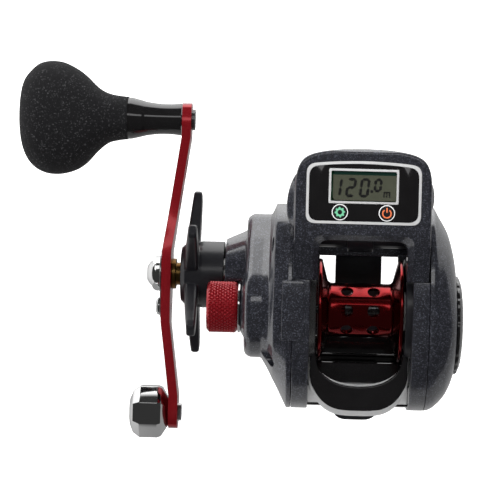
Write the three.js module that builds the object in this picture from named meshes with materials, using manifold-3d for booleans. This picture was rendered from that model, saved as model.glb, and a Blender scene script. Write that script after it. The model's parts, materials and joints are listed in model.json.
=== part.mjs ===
// Line-counter baitcasting reel with a left-hand crank.
// Millimetres, +Z up, +Y towards the rod tip, crank on -X.
// The origin lies on the foot's underside, below the middle of the spool.
import * as THREE from "three";
import { mergeVertices } from "three/addons/utils/BufferGeometryUtils.js";
import Module from "manifold-3d";

const wasm = await Module();
wasm.setup();

// Fits
const weld = 1e-4;
const touch = 0.06;
const play = 0.05;
const run = 0.2;
const overrun = 1.5;

// Facets round a large, a middling and a small circle, and half those of a corner
const largeSteps = 32;
const middleSteps = 20;
const smallSteps = 10;
const cornerSteps = 2;

// Frame
const bayHalf = 16;
const plateThick = 5.3;
const wormInset = 9.25;
const bodyRim = 2.3;
const saddleRear = 9.6;
const saddleDrop = 5.4;
const saddleInset = 2.5;
const windingRingLap = 1.4;
const windingRingWall = 2.6;
const windingRingReach = 2;
const barBase = 3.1;
const frontBarDepth = 11.5;
const frontBarInset = 2;
const frontBarThick = 2;
const headBarDepth = 7.6;
const headBarThick = 4.2;
const headBarInset = 2.9;
const deckInset = 2.1;
const deckGap = 1.3;
const thumbStopGap = 0.3;
const deckDrop = 2.6;
const deckThick = 3;
const boltRadius = 6.4;
const coverScrewShares = [
  [-0.46, 0.785],
  [0.6, 0.77],
];

// Foot
const footWidth = 15.2;
const footRearReach = 5.6;
const footFrontReach = 2.4;
const footThick = 3;
const footTipThick = 1.6;
const footTaper = 9;
const footCorner = 5;
const footScrewRadius = 1.4;
const footScrewHeadRadius = 2.4;
const footScrewHeadDepth = 1.1;
const footScrewReach = 1.8;
const footScrewDeckInset = 5.9;
const footScrewInset = 2.6;

// Gear train
const gearModule = 0.53;
const driveTeeth = 62;
const pinionTeeth = 11;
const pressureAngle = THREE.MathUtils.degToRad(20);
const addendumShare = 0.78;
const dedendumShare = 1.2;
const backlash = 0.11;
const shaftForward = 10;
const levelModule = 0.6;
const levelDriveTeeth = 32;
const wormTeeth = 20;
const wormLift = THREE.MathUtils.degToRad(24);

// Spool
const spoolRadius = 16.3;
const spoolGap = 2.65;
const spoolRim = 1.15;
const spoolFlange = 3.15;
const arborRadius = 8.65;
const arborWall = 1.2;
const arborHoleRadius = 1.95;
const arborHoleSpacing = 8.4;
const arborHoleRows = 8;
const arborHoleSteps = 8;
const spoolWebThick = 1.4;
const spoolHubRadius = 2.7;
const spoolHubLength = 4.2;
const spoolShaftRadius = 1.25;
const spoolShaftOut = 0.2;
const spoolShaftInset = 0.1;
const counterMagnetRadius = 1;
const counterMagnetInset = 3.7;
const counterMagnetGap = 2;
const counterMagnetThick = 1;

// Bearings
const spoolBearingRadius = 4;
const spoolBearingThick = 2.4;
const bearingLap = 0.2;
const palmBearingOut = 2.1;
const shaftBushRadius = 4.9;
const shaftBushThick = 3;

// Clutch
const camThick = 1.1;
const camRadius = 8.4;
const camBore = 4.7;
const camArmLap = 1.3;
const camArmHalf = 1.5;
const camTurn = THREE.MathUtils.degToRad(13);
const yokeLift = 1.6;
const rampHeight = 1.4;
const rampInner = 5.3;
const rampOuter = 7.9;
const yokeThick = 1.2;
const yokeRadius = 8.2;
const yokePadTurn = THREE.MathUtils.degToRad(5);
const yokeEarReach = 11.6;
const yokeEarHalf = 2.2;
const yokePostRadius = 0.9;
const yokePostPlace = 9.8;
const pinionCollarRadius = 4.2;
const pinionCollarThick = 2.2;
const pinionGrooveRadius = 2.5;
const pinionBore = 1.42;
const pinionLength = 7.2;
const pinionNoseRadius = 2;
const pinionNoseLength = 2.6;
const clutchPinRadius = 0.6;
const clutchPinHalf = 3;
const thumbTravel = 4;

// Main shaft and drag
const shaftRadius = 3.7;
const shaftOut = 2.9;
const shaftTipRadius = 2.6;
const shaftTipLength = 3.7;
const levelGearOut = 2.8;
const levelGearThick = 1.6;
const driveGearOut = 7.1;
const driveGearThick = 3;
const driveRecessDepth = 0.7;
const dragWasherRadius = 13;
const dragWasherThick = 1.4;
const pressurePlateInset = 0.4;
const pressurePlateThick = 1;
const sleeveRadius = 5.4;
const sleeveOut = 1;
const oneWayRadius = 8;
const oneWayInset = 2;
const oneWayLength = 6;

// Gear cover
const coverWall = 1.7;
const gearBossRoom = 2.57;
const spoolBossRadius = 15.8;
const wormBossRadius = 6;
const gearBossWall = 1.8;
const gearBossEdge = 2.1;
const gearCavityRoom = 3.4;
const coverCentreForward = 5;
const coverCentreHeight = 16;
const frontStepOut = 6;
const frontStepLength = 1.5;
const rearBevelOut = 1.5;
const rearBevelLength = 8.4;
const lowBulgeOut = 2.6;
const lowBulgeLength = 1.1;
const coneBaseRadius = 15;
const coneTipRadius = 11.8;
const coneLip = 0.8;
const castBossRadius = 10;
const castBossTipRadius = 7.6;
const castBossRise = 1.4;
const stubRadius = 5.6;
const stubLength = 6.8;
const stubBore = 2.2;
const knobRelief = 0.7;
const coverScrewHead = 2.5;
const coverScrewDepth = 1.6;
const coverScrewRadius = 1.2;
const coverScrewReach = 4;
const coverScrewOut = 3.3;

// Palm cover and brake
const palmDepth = 8.9;
const palmWall = 1.8;
const dialRadius = 15.7;
const dialCentreBack = 4;
const dialCentreHeight = 23;
const dialRimOut = 0.9;
const dialCrown = 1.5;
const dialGrips = 24;
const dialGripDepth = 0.35;
const dialStemRadius = 3;
const brakeCupLap = 0.6;
const brakeCupThick = 1.8;
const brakeCupOut = 0.5;
const brakeHubRadius = 3;
const brakeHubIn = 3.6;
const brakeHubOut = 5;
const brakeHubBore = 1.6;
const carrierRadius = 6.4;
const carrierInset = 1;
const carrierThick = 1.8;

// Cast control
const castKnobRadius = 8.15;
const castKnobGap = 0.8;
const castKnobLength = 9.9;
const castKnobEdge = 0.9;
const castKnobGrips = 28;
const castKnobGripDepth = 0.3;
const castKnobEnd = 1.6;
const shimRadius = 4.8;
const shimThick = 0.7;
const shimGap = 0.45;

// Star drag
const starSkirtRadius = 10.9;
const starGap = 0.5;
const starSkirtWall = 1.5;
const starSkirtDepth = 7.2;
const starHubThick = 6.2;
const starHubRadius = 10.5;
const starReach = 28;
const starArms = 5;
const starFirstArm = THREE.MathUtils.degToRad(-13);
const starArmInset = 0.9;
const starArmThick = 3.2;
const starArmRoot = 4.4;
const starArmTip = 2.7;
const starNutRadius = 6;
const starNutThick = 3;
const starNutGap = 2;

// Crank
const hubWasherThick = 1.5;
const armThick = 3;
const armFlatFront = 7.3;
const armFlatRear = 15.9;
const crankLength = 50.7;
const knobPadLength = 11.5;
const armKnobDrop = 5.3;
const weightLength = 45.4;
const weightPadLength = 10.5;
const armWeightDrop = 3.2;
const armTipReach = 5.4;
const armHubHalf = 7.4;
const slotPlaceShares = [0.485, 0.675];
const slotLength = 7.2;
const slotHalf = 1.7;
const hubWasherRadius = 5;
const hubWasherGap = 2.4;
const nutAcross = 10;
const nutBodyThick = 3.2;
const nutDomeRadius = 4.4;
const nutCrown = 1.5;
const keeperThick = 0.5;
const keeperHole = 6;
const keeperHalf = 7.6;
const keeperScrewBack = 10.8;
const keeperEndRadius = 3.6;
const keeperScrewRadius = 2.9;
const keeperScrewShank = 1.1;
const keeperScrewHeight = 1.4;

// Grip
const stemGap = 0.3;
const stemLength = 17.5;
const stemFlange = 6.8;
const stemWaist = 5;
const stemFoot = 5.3;
const postRadius = 2.2;
const postReach = 19.1;
const postHeadRadius = 3.4;
const postHeadThick = 1.1;
const gripCoreWall = 2.2;
const gripSquareShare = 0.85;
const stemLip = 1.2;
const gripLength = 36;
const gripHalf = 19;
const gripThickHalf = 13;

// Counterweight
const weightRadius = 9.07;
const weightGap = 0.1;
const weightDepth = 12.7;
const weightSides = 8;
const weightScrewRadius = 1.6;
const weightScrewHead = 2.9;
const weightScrewReach = 8;

// Level wind
const wormRadius = 2.5;
const wormEndRadius = 1.5;
const wormEndGap = 1.4;
const wormTubeRadius = 4.2;
const wormTubeBore = 2.8;
const wormTubeSlot = 1.5;
const wormEndReach = 3.4;
const guideEndRoom = 2.2;
const guideHalf = 4.2;
const guideRadius = 5.6;
const guideNeckHalf = 1.2;
const guideEyeTop = 29;
const guideEyeRadius = 1.7;
const guideEyeWall = 1.6;
const guideLegDrop = 1.9;
const guideLegClear = 1.185;
const guideLegWall = 1.1;
const guideBarSeat = 3;
const guideBarRadius = 1.3;
const guideBarInset = 2.9;
const guideBarDrop = 3.385;
const pawlRadius = 1;
const pawlBossRadius = 2.3;

// Thumb bar
const thumbThick = 3.8;
const thumbRise = 5.2;
const thumbSideGap = 0.2;
const thumbRearInset = 0.2;
const thumbTipShare = 0.4;
const thumbMouthGap = 7.9;
const thumbMouthShift = 3.6;
const thumbInset = 0.3;
const thumbEdge = 0.35;
const thumbPlateThick = 0.9;
const lugInset = 1.1;
const lugAhead = 4.7;
const lugHalf = 0.8;
const lugOut = 1.7;

// Line counter
const legThick = 4.6;
const windowLength = 11.4;
const counterReach = 16.6;
const counterRise = 6;
const counterDepth = 14;
const legDrop = 6;
const windowCorner = 3;
const panelInset = 2.8;
const panelRearInset = 5.7;
const panelFrontInset = 3.5;
const panelArch = 1.2;
const panelCorner = 3;
const panelThick = 1.1;
const panelSink = 0.1;
const lcdInset = 6.9;
const lcdRearGap = 2.7;
const lcdFrontInset = 2.5;
const lcdFrameWall = 1;
const lcdFrameThick = 1.5;
const lcdGlassSink = 0.4;
const boardInset = 3.3;
const boardRearInset = 1.3;
const boardFrontInset = 1.2;
const boardThick = 1;
const boardDepth = 4.2;
const keyPlaceInset = 3.65;
const keyInset = 4;
const keyRadius = 1.9;
const keyFlange = 0.5;
const keyRise = 0.1;
const keyTravel = 0.5;
const cellRadius = 6.25;
const cellThick = 3.2;
const cellInset = 5.9;
const capRadius = 7.4;
const capThick = 2.2;
const capSlotHalf = 0.7;
const capSlotDepth = 0.9;
const counterScrewInset = 15.6;
const counterScrewDrop = 7;
const counterScrewRadius = 1.7;
const counterScrewThick = 0.7;
const counterScrewShank = 1;
const counterScrewReach = 2.2;
const sensorSize = 2.6;

// Places worked out from the sizes above: the gear train and the body round it
const plateOuter = bayHalf + plateThick;
const coverSeat = plateOuter + touch;
const shaftDistance = (gearModule * (driveTeeth + pinionTeeth)) / 2;
const wormDistance = (levelModule * (levelDriveTeeth + wormTeeth)) / 2;
const wormForward = shaftForward + wormDistance * Math.cos(wormLift);
const frontBarTop = barBase + frontBarThick;
const wormHeight = frontBarTop + guideLegClear + guideLegDrop + guideRadius;
const shaftHeight = wormHeight - wormDistance * Math.sin(wormLift);
const spoolHeight = shaftHeight + Math.sqrt(shaftDistance ** 2 - shaftForward ** 2);
const meshAngle = Math.atan2(spoolHeight - shaftHeight, -shaftForward);
const earAngle = meshAngle - Math.PI / 2;
const bodyReach = wormForward + wormInset;
const windingRingRadius = spoolRadius + windingRingLap;
const brakeCupRadius = spoolRadius + brakeCupLap;
const palmHoleRadius = brakeCupRadius + run;
const bodyHeight = spoolHeight + windingRingRadius + bodyRim;
const saddleHeight = bodyHeight - saddleDrop;
const saddleFront = bodyReach - saddleInset;
const frontBarFront = bodyReach - frontBarInset;
const frontBarRear = frontBarFront - frontBarDepth;
const headBarFront = bodyReach - headBarInset;
const headBarRear = headBarFront - headBarDepth;
const headBarBase = saddleHeight - headBarThick;
const guideBarForward = bodyReach - guideBarInset;
const guideBarHeight = wormHeight - guideBarDrop;
const wormHalf = bayHalf - wormEndGap;
const guideTravel = bayHalf - guideHalf - guideEndRoom;
const wormRight = bayHalf + wormEndReach;

// Thumb bar, deck and foot
const thumbBase = spoolHeight + thumbRise;
const thumbTop = thumbBase + thumbThick;
const thumbRear = bodyReach - thumbRearInset;
const thumbMouth = spoolRadius + thumbMouthGap;
const thumbHalf = bayHalf - thumbSideGap;
const lugBack = thumbMouth - lugAhead;
const lugReach = plateOuter + lugOut;
const camArmReach = lugBack + camArmLap;
const deckRear = bodyReach - deckInset;
const deckFront = spoolRadius + deckGap;
const deckTop = thumbBase - thumbPlateThick - thumbTravel - thumbStopGap;
const deckLip = deckTop - deckDrop;
const footScrewFront = frontBarRear + footScrewInset;
const footScrewRear = deckRear - footScrewDeckInset;
const footFront = footScrewFront + footFrontReach;
const footRear = deckRear + footRearReach;

// Line counter
const counterHalf = bayHalf + legThick;
const counterRear = saddleRear + windowLength;
const counterFront = bodyReach + counterReach;
const counterTop = bodyHeight + counterRise;
const legTop = counterTop - legDrop;
const counterBase = counterTop - counterDepth;
const panelHalf = counterHalf - panelInset;
const panelRear = counterRear + panelRearInset;
const panelFront = counterFront - panelFrontInset;
const keyForward = panelRear + keyInset;
const lcdHalf = panelHalf - lcdInset;
const keyPlace = lcdHalf - keyPlaceInset;
const lcdRear = keyForward + lcdRearGap;
const lcdFront = panelFront - lcdFrontInset;
const boardHalf = panelHalf - boardInset;
const boardRear = panelRear + boardRearInset;
const boardFront = panelFront - boardFrontInset;
const boardTop = counterTop - boardDepth;
const cellForward = boardFront - cellInset;
const counterScrewForward = counterRear + counterScrewInset;
const counterScrewHeight = counterTop - counterScrewDrop;

// Spool, brake and palm side, outwards
const spoolHalf = bayHalf - spoolGap;
const arborHalf = spoolHalf - spoolFlange;
const counterMagnetOut = spoolRadius - counterMagnetInset;
const counterMagnetLeft = bayHalf - counterMagnetGap;
const counterMagnetRight = counterMagnetLeft - counterMagnetThick;
const palmBearingPlace = bayHalf + palmBearingOut;
const spoolShaftRight = palmBearingPlace + spoolBearingThick - spoolShaftInset;
const brakeHubStart = bayHalf - brakeHubIn;
const carrierStart = brakeHubStart + carrierInset;
const carrierEnd = carrierStart + carrierThick;
const brakeCupPlace = bayHalf + brakeCupOut;
const brakeHubEnd = bayHalf + brakeHubOut;
const palmFace = plateOuter + palmDepth;
const dialEdge = palmFace + dialRimOut;
const dialFace = dialEdge + dialCrown;

// Gear side, outwards
const camPlace = coverSeat + run;
const camFace = camPlace + camThick;
const yokePlace = camFace + rampHeight + run;
const pinionPlace = yokePlace - run - pinionCollarThick;
const pinionTeethPlace = yokePlace + yokeThick + run;
const rearBevel = plateOuter + rearBevelOut;
const rearBevelEnd = rearBevel + rearBevelLength;
const lowBulge = plateOuter + lowBulgeOut;
const lowBulgeEnd = lowBulge + lowBulgeLength;
const coverScrewSeat = plateOuter + coverScrewOut;
const frontStep = plateOuter + frontStepOut;
const levelGearPlace = plateOuter + levelGearOut;
const driveGearPlace = plateOuter + driveGearOut;
const driveRecessRadius = dragWasherRadius + run;
const pressurePlateRadius = dragWasherRadius - pressurePlateInset;
const gearBossRadius = (gearModule * driveTeeth) / 2 + gearBossRoom;
const gearCavityFace = driveGearPlace + driveGearThick + gearCavityRoom;
const gearBossFace = gearCavityFace + gearBossWall;
const bearingPlace = gearCavityFace - bearingLap;
const oneWayPlace = gearCavityFace + oneWayInset;
const coneFace = oneWayPlace + oneWayLength + coneLip;
const sleeveLeft = coneFace + sleeveOut;
const castBossFace = gearBossFace + castBossRise;
const stubLeft = castBossFace + stubLength;
const spoolShaftLeft = stubLeft + spoolShaftOut;
const castKnobRight = castBossFace + castKnobGap;
const castKnobLeft = castKnobRight + castKnobLength;
const starSkirtRight = coneFace + starGap;
const starNutPlace = sleeveLeft + starNutGap;
const starHubRight = starSkirtRight + starSkirtDepth;
const starHubLeft = starHubRight + starHubThick;
const starArmRight = starHubRight + starArmInset;
const hubWasherRight = starHubLeft + hubWasherGap;
const armRight = hubWasherRight + hubWasherThick;
const armKnobRight = armRight - armKnobDrop;
const armWeightRight = armRight - armWeightDrop;
const shaftLeft = armRight + shaftOut;
const shaftTipLeft = shaftLeft + shaftTipLength;
const nutLeft = shaftTipLeft + nutCrown;
const stemRight = armKnobRight + armThick + stemGap;
const stemLeft = stemRight + stemLength;
const postLeft = stemLeft + postReach;
const weightRight = armWeightRight + armThick + weightGap;
const weightLeft = weightRight + weightDepth;

// Side outline of the body, as shares of bodyReach ahead and of bodyHeight up
const bodyShares = [
  [-0.72, 0.07],
  [-0.91, 0.18],
  [-0.985, 0.34],
  [-0.973, 0.52],
  [-0.88, 0.705],
  [-0.67, 0.864],
  [-0.36, 0.968],
  [0, 1],
  [0.33, 0.98],
  [0.63, 0.91],
  [0.87, 0.775],
  [0.985, 0.59],
  [1, 0.41],
  [0.955, 0.197],
  [0.78, 0.086],
  [0.3, 0.045],
  [-0.3, 0.045],
];
// Palm cover: how far out, and how far its front and rear have drawn in to the dial, as shares
const palmShares = [
  [0, 0, 0],
  [0.17, 0, 0.03],
  [0.37, 0.14, 0.12],
  [0.67, 0.35, 0.36],
  [0.86, 0.6, 0.64],
  [0.96, 0.82, 0.88],
  [1, 1, 1],
];
// Thumb bar's mouth, as shares of thumbHalf across and of the way from the tips to the middle
const mouthShares = [
  [0.9, 0],
  [0.87, 0.28],
  [0.79, 0.56],
  [0.57, 0.81],
  [0.3, 0.955],
  [0, 1],
];
// Thumb bar's rear edge, as shares of thumbHalf across and of thumbRear back
const thumbRearShares = [
  [1, 0.68],
  [0.9, 0.81],
  [0.72, 0.92],
  [0.49, 0.982],
  [0.25, 1],
  [0, 1.003],
];
// Counter's front edge, as shares of counterHalf across and of the length ahead of the rear edge
const hoodShares = [
  [1, 0.7],
  [0.985, 0.8],
  [0.93, 0.885],
  [0.82, 0.94],
  [0.62, 0.973],
  [0.32, 0.993],
  [0, 1],
];
// Crank arm's plan from the tip to the shaft: way along crankLength, and half width in armHubHalf
const armShares = [
  [1.107, 0],
  [1.08, 0.52],
  [1, 0.73],
  [0.87, 0.68],
  [0.6, 0.63],
  [0.36, 0.7],
  [0.17, 0.94],
  [0, 1],
];
// The same from the shaft to the counterweight's end, along weightLength
const weightSideShares = [
  [0.19, 0.92],
  [0.4, 0.7],
  [0.65, 0.64],
  [0.88, 0.68],
  [1, 0.73],
  [1.09, 0.52],
  [1.119, 0],
];
// Counterweight: way out along its length, and radius, as shares
const weightShares = [
  [0, 0.52],
  [0.17, 0.94],
  [0.26, 1],
  [0.72, 1],
  [0.9, 0.82],
  [1, 0.46],
];
// Brake dial's crown: way out along dialCrown, and radius
const crownShares = [
  [0.667, 0.86],
  [1, 0.62],
];
// Grip stem: way along stemLength, and radius between its waist and its flange
const stemShares = [
  [0.18, 0],
  [0.4, 0],
  [0.75, 0.55],
];
// Grip: way along, half height and half thickness, as shares of gripLength, gripHalf and gripThickHalf
const gripShares = [
  [0, 0.37, 0.52],
  [0.1, 0.4, 0.56],
  [0.19, 0.45, 0.62],
  [0.29, 0.6, 0.72],
  [0.38, 0.77, 0.83],
  [0.49, 0.91, 0.92],
  [0.6, 0.985, 0.98],
  [0.71, 1, 1],
  [0.81, 0.94, 0.97],
  [0.89, 0.8, 0.86],
  [0.955, 0.58, 0.66],
  [0.99, 0.28, 0.36],
];

// Colours and finishes
const finish = (color, roughness, metalness) => () => new THREE.MeshStandardMaterial(
  { color, roughness, metalness },
);
const charcoal = finish(0x24262c, 0.4, 0.6);
const glossBlack = finish(0x0a0a0c, 0.15, 0.2);
const satinBlack = finish(0x151517, 0.5, 0.1);
const redAnodised = finish(0xa30f16, 0.3, 0.9);
const chrome = finish(0xd8d8dc, 0.12, 1);
const steel = finish(0x9a9ca0, 0.35, 1);
const brass = finish(0x9c7430, 0.35, 1);
const foam = finish(0x1b1b1c, 0.95, 0);
const silverPlastic = finish(0xb9bcbf, 0.4, 0.3);
const displayGrey = finish(0x5c6158, 0.3, 0);
const boardGreen = finish(0x1f5a37, 0.6, 0);
const carbon = finish(0x2c2c2e, 0.6, 0.2);

// A closed geometry as a solid that can be joined and cut, and back again
function solid(geometry) {
  const bare = geometry.index ? geometry.toNonIndexed() : geometry.clone();
  for (const name of Object.keys(bare.attributes)) {
    if (name !== "position") bare.deleteAttribute(name);
  }
  const merged = mergeVertices(bare, weld);
  const vertProperties = merged.attributes.position.array;
  const triVerts = new Uint32Array(merged.index.array);
  return new wasm.Manifold(new wasm.Mesh({ numProp: 3, vertProperties, triVerts }));
}

function geometryOf(body) {
  const mesh = body.getMesh();
  const geometry = new THREE.BufferGeometry();
  geometry.setAttribute("position", new THREE.BufferAttribute(mesh.vertProperties, 3));
  geometry.setIndex(new THREE.BufferAttribute(mesh.triVerts, 1));
  geometry.computeVertexNormals();
  return geometry;
}

const join = (...bodies) => bodies.reduce((sum, body) => sum.add(body));
const cut = (body, ...tools) => tools.reduce((rest, tool) => rest.subtract(tool), body);

// Flat shapes
const vector = ([a, b]) => new THREE.Vector2(a, b);
const polygon = (points) => new THREE.Shape(points.map(vector));
const scaled = (shares, a, b) => shares.map(([u, v]) => [u * a, v * b]);

// A smooth closed line through the points
function smooth(points, steps) {
  const line = new THREE.CatmullRomCurve3(
    points.map(([a, b]) => new THREE.Vector3(a, b, 0)),
    true,
  );
  return line.getPoints(steps).slice(0, -1).map(({ x, y }) => [x, y]);
}

// A smooth open line through the points
function bow(points, steps) {
  return new THREE.SplineCurve(points.map(vector)).getPoints(steps).map(({ x, y }) => [x, y]);
}

// Corners of a regular polygon
function regular(sides, radius) {
  return Array.from({ length: sides }, (_, i) => {
    const angle = (2 * Math.PI * i) / sides;
    return [radius * Math.cos(angle), radius * Math.sin(angle)];
  });
}

function roundedBox(low, high, corner) {
  const [a0, b0] = low;
  const [a1, b1] = high;
  const shape = new THREE.Shape();
  shape.absarc(a1 - corner, b1 - corner, corner, 0, Math.PI / 2);
  shape.absarc(a0 + corner, b1 - corner, corner, Math.PI / 2, Math.PI);
  shape.absarc(a0 + corner, b0 + corner, corner, Math.PI, 1.5 * Math.PI);
  shape.absarc(a1 - corner, b0 + corner, corner, 1.5 * Math.PI, 2 * Math.PI);
  return shape;
}

// An outline drawn forward and up, drawn out along X
const acrossBasis = new THREE.Matrix4().makeBasis(
  new THREE.Vector3(0, 1, 0),
  new THREE.Vector3(0, 0, 1),
  new THREE.Vector3(1, 0, 0),
);

function drawn(shape, low, high, edge, steps) {
  const geometry = new THREE.ExtrudeGeometry(shape, {
    depth: high - low - 2 * edge,
    bevelEnabled: edge > 0,
    bevelThickness: edge,
    bevelSize: edge,
    bevelOffset: -edge,
    bevelSegments: 1,
    curveSegments: steps,
  });
  return geometry.translate(0, 0, low + edge);
}

function alongX(shape, low, high, edge = 0, steps = cornerSteps) {
  return solid(drawn(shape, low, high, edge, steps).applyMatrix4(acrossBasis));
}

function alongZ(shape, low, high, edge = 0, steps = cornerSteps) {
  return solid(drawn(shape, low, high, edge, steps));
}

// A profile of [place along X, radius] points turned about X
const turnedBasis = new THREE.Matrix4().makeBasis(
  new THREE.Vector3(0, 0, 1),
  new THREE.Vector3(1, 0, 0),
  new THREE.Vector3(0, 1, 0),
);

function turned(profile, steps = middleSteps) {
  const area = profile.reduce((sum, [x, r], i) => {
    const [nextX, nextR] = profile[(i + 1) % profile.length];
    return sum + x * nextR - nextX * r;
  }, 0);
  const ordered = area > 0 ? [...profile].reverse() : [...profile];
  const onAxis = ordered.findIndex(([, r], i) => r === 0 && ordered[(i + 1) % ordered.length][1] > 0);
  const hollow = onAxis < 0;
  const start = hollow ? 0 : onAxis;
  const points = ordered.map((_, i) => ordered[(start + i) % ordered.length]);
  if (hollow) points.push(points[0]);
  const lathe = new THREE.LatheGeometry(
    points.map(([x, r]) => new THREE.Vector2(r, x)),
    steps,
  );
  return solid(lathe.applyMatrix4(turnedBasis));
}

const rod = (radius, low, high, steps = middleSteps) =>
  turned([[low, 0], [low, radius], [high, radius], [high, 0]], steps);

const tube = (radius, bore, low, high, steps = middleSteps) =>
  turned([[low, bore], [low, radius], [high, radius], [high, bore]], steps);

const box = (x0, x1, y0, y1, z0, z1) =>
  alongZ(polygon([[x0, y0], [x1, y0], [x1, y1], [x0, y1]]), z0, z1);

const moved = (body, x, y, z) => body.translate([x, y, z]);
const atSpool = (body) => moved(body, 0, 0, spoolHeight);
const atShaft = (body) => moved(body, 0, shaftForward, shaftHeight);
const turnedBy = (body, angle) => body.rotate([THREE.MathUtils.radToDeg(angle), 0, 0]);

// A skin over rings of points, closed at both ends
function loft(rings) {
  const count = rings[0].length;
  const corners = rings.flat();
  const middle = (ring) => ring.reduce((sum, p) => sum.add(p), new THREE.Vector3()).divideScalar(count);
  const first = corners.push(middle(rings[0])) - 1;
  const last = corners.push(middle(rings.at(-1))) - 1;
  const faces = [];
  for (let i = 0; i < count; i++) {
    const next = (i + 1) % count;
    faces.push(first, next, i);
    const top = (rings.length - 1) * count;
    faces.push(last, top + i, top + next);
    for (let ring = 0; ring < rings.length - 1; ring++) {
      const a = ring * count + i;
      const b = ring * count + next;
      faces.push(a, b, b + count, a, b + count, a + count);
    }
  }
  const geometry = new THREE.BufferGeometry().setFromPoints(corners);
  geometry.setIndex(faces);
  const body = solid(geometry);
  return body.volume() > 0 ? body : flipped(geometry, faces);
}

// The same skin with its faces turned round
function flipped(geometry, faces) {
  const turnedRound = [];
  for (let i = 0; i < faces.length; i += 3) turnedRound.push(faces[i], faces[i + 2], faces[i + 1]);
  geometry.setIndex(turnedRound);
  return solid(geometry);
}

// Distance from a centre to an outline in the direction of an angle
function reach(points, [cy, cz], angle) {
  const dy = Math.cos(angle);
  const dz = Math.sin(angle);
  let far = 0;
  points.forEach(([ay, az], i) => {
    const [by, bz] = points[(i + 1) % points.length];
    const ey = by - ay;
    const ez = bz - az;
    const cross = dy * ez - dz * ey;
    if (cross === 0) return;
    const along = ((ay - cy) * ez - (az - cz) * ey) / cross;
    const share = ((ay - cy) * dz - (az - cz) * dy) / cross;
    if (share >= 0 && share <= 1) far = Math.max(far, along);
  });
  return far;
}

// The same for the hull of circles, each [forward, up, radius]: the nearest of the hull's tangents
function hullReach(circles, [cy, cz], angle) {
  let least = Infinity;
  for (let i = 0; i < 2 * largeSteps; i++) {
    const turn = (Math.PI * i) / largeSteps;
    const facing = Math.cos(turn - angle);
    if (facing <= 0) continue;
    const tangents = circles.map(([y, z, r]) => (y - cy) * Math.cos(turn) + (z - cz) * Math.sin(turn) + r);
    least = Math.min(least, Math.max(...tangents) / facing);
  }
  return least;
}

// An involute gear's outline about the origin
function gearOutline(teeth, unit) {
  const pitch = (unit * teeth) / 2;
  const base = pitch * Math.cos(pressureAngle);
  const tip = pitch + addendumShare * unit;
  const root = pitch - dedendumShare * unit;
  const spread = (radius) => {
    const roll = Math.acos(Math.min(1, base / radius));
    return Math.tan(roll) - roll;
  };
  const halfAtPitch = Math.PI / (2 * teeth) - backlash / (2 * pitch);
  const halfAt = (radius) => halfAtPitch + spread(pitch) - spread(Math.max(radius, base));
  const flank = teeth > pinionTeeth ? [root, tip] : [root, pitch, tip];
  const points = [];
  for (let tooth = 0; tooth < teeth; tooth++) {
    const middle = (2 * Math.PI * tooth) / teeth;
    for (const radius of flank) {
      const angle = middle - halfAt(radius);
      points.push([radius * Math.cos(angle), radius * Math.sin(angle)]);
    }
    for (const radius of [...flank].reverse()) {
      const angle = middle + halfAt(radius);
      points.push([radius * Math.cos(angle), radius * Math.sin(angle)]);
    }
  }
  return points;
}

// The group of pieces, with a mesh for each solid
const reel = new THREE.Group();

function piece(name, body, material, group = reel) {
  const mesh = new THREE.Mesh(geometryOf(body), material());
  mesh.name = name;
  group.add(mesh);
}

function axisGroup(x, y, z, parent = reel) {
  const group = new THREE.Group();
  group.position.set(x, y, z);
  parent.add(group);
  return group;
}

const bodyOutline = smooth(scaled(bodyShares, bodyReach, bodyHeight), largeSteps);

// An upright rod, and a rod or plate that runs forward
const upright = (radius, low, high, steps = smallSteps) => rod(radius, low, high, steps).rotate([0, -90, 0]);
const alongY = (radius, low, high, steps = smallSteps) => rod(radius, low, high, steps).rotate([0, 0, 90]);

// A block between two angles and two radii about X, its outer face rising from one height to another
function ramp(inner, outer, angles, base, tops) {
  const rings = angles.map((angle, i) => {
    const at = (x, r) => new THREE.Vector3(x, r * Math.cos(angle), r * Math.sin(angle));
    return [at(base, inner), at(base, outer), at(tops[i], outer), at(tops[i], inner)];
  });
  return loft(rings);
}

// The room that a tip of the thumb bar sweeps beside the spool, on the side given
function tipRoom(side) {
  const low = thumbBase - thumbPlateThick - thumbTravel - run;
  const rear = -thumbMouth;
  const near = bayHalf - windingRingReach - run;
  const [x0, x1] = side < 0 ? [-bayHalf, -near] : [near, bayHalf];
  return box(x0, x1, rear, -thumbMouth * thumbTipShare - thumbMouthShift + run, low, thumbTop + run);
}

const footScrewPlaces = [-footScrewRear, footScrewFront];
const earPlaces = [yokePostPlace, -yokePostPlace].map(
  (r) => [r * Math.cos(earAngle), r * Math.sin(earAngle)],
);
const coverScrewPlaces = scaled(coverScrewShares, bodyReach, bodyHeight);

// The line sensor, and with a gap its pocket in the gear-side plate
function sensor(gap) {
  const half = sensorSize / 2 + gap;
  const block = roundedBox([-half, -half], [half, half], sensorSize / 5);
  const open = gap > 0 ? overrun : -touch;
  return moved(
    alongX(block, -bayHalf - sensorSize - gap, -bayHalf + open),
    0,
    0,
    spoolHeight - counterMagnetOut,
  );
}

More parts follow.
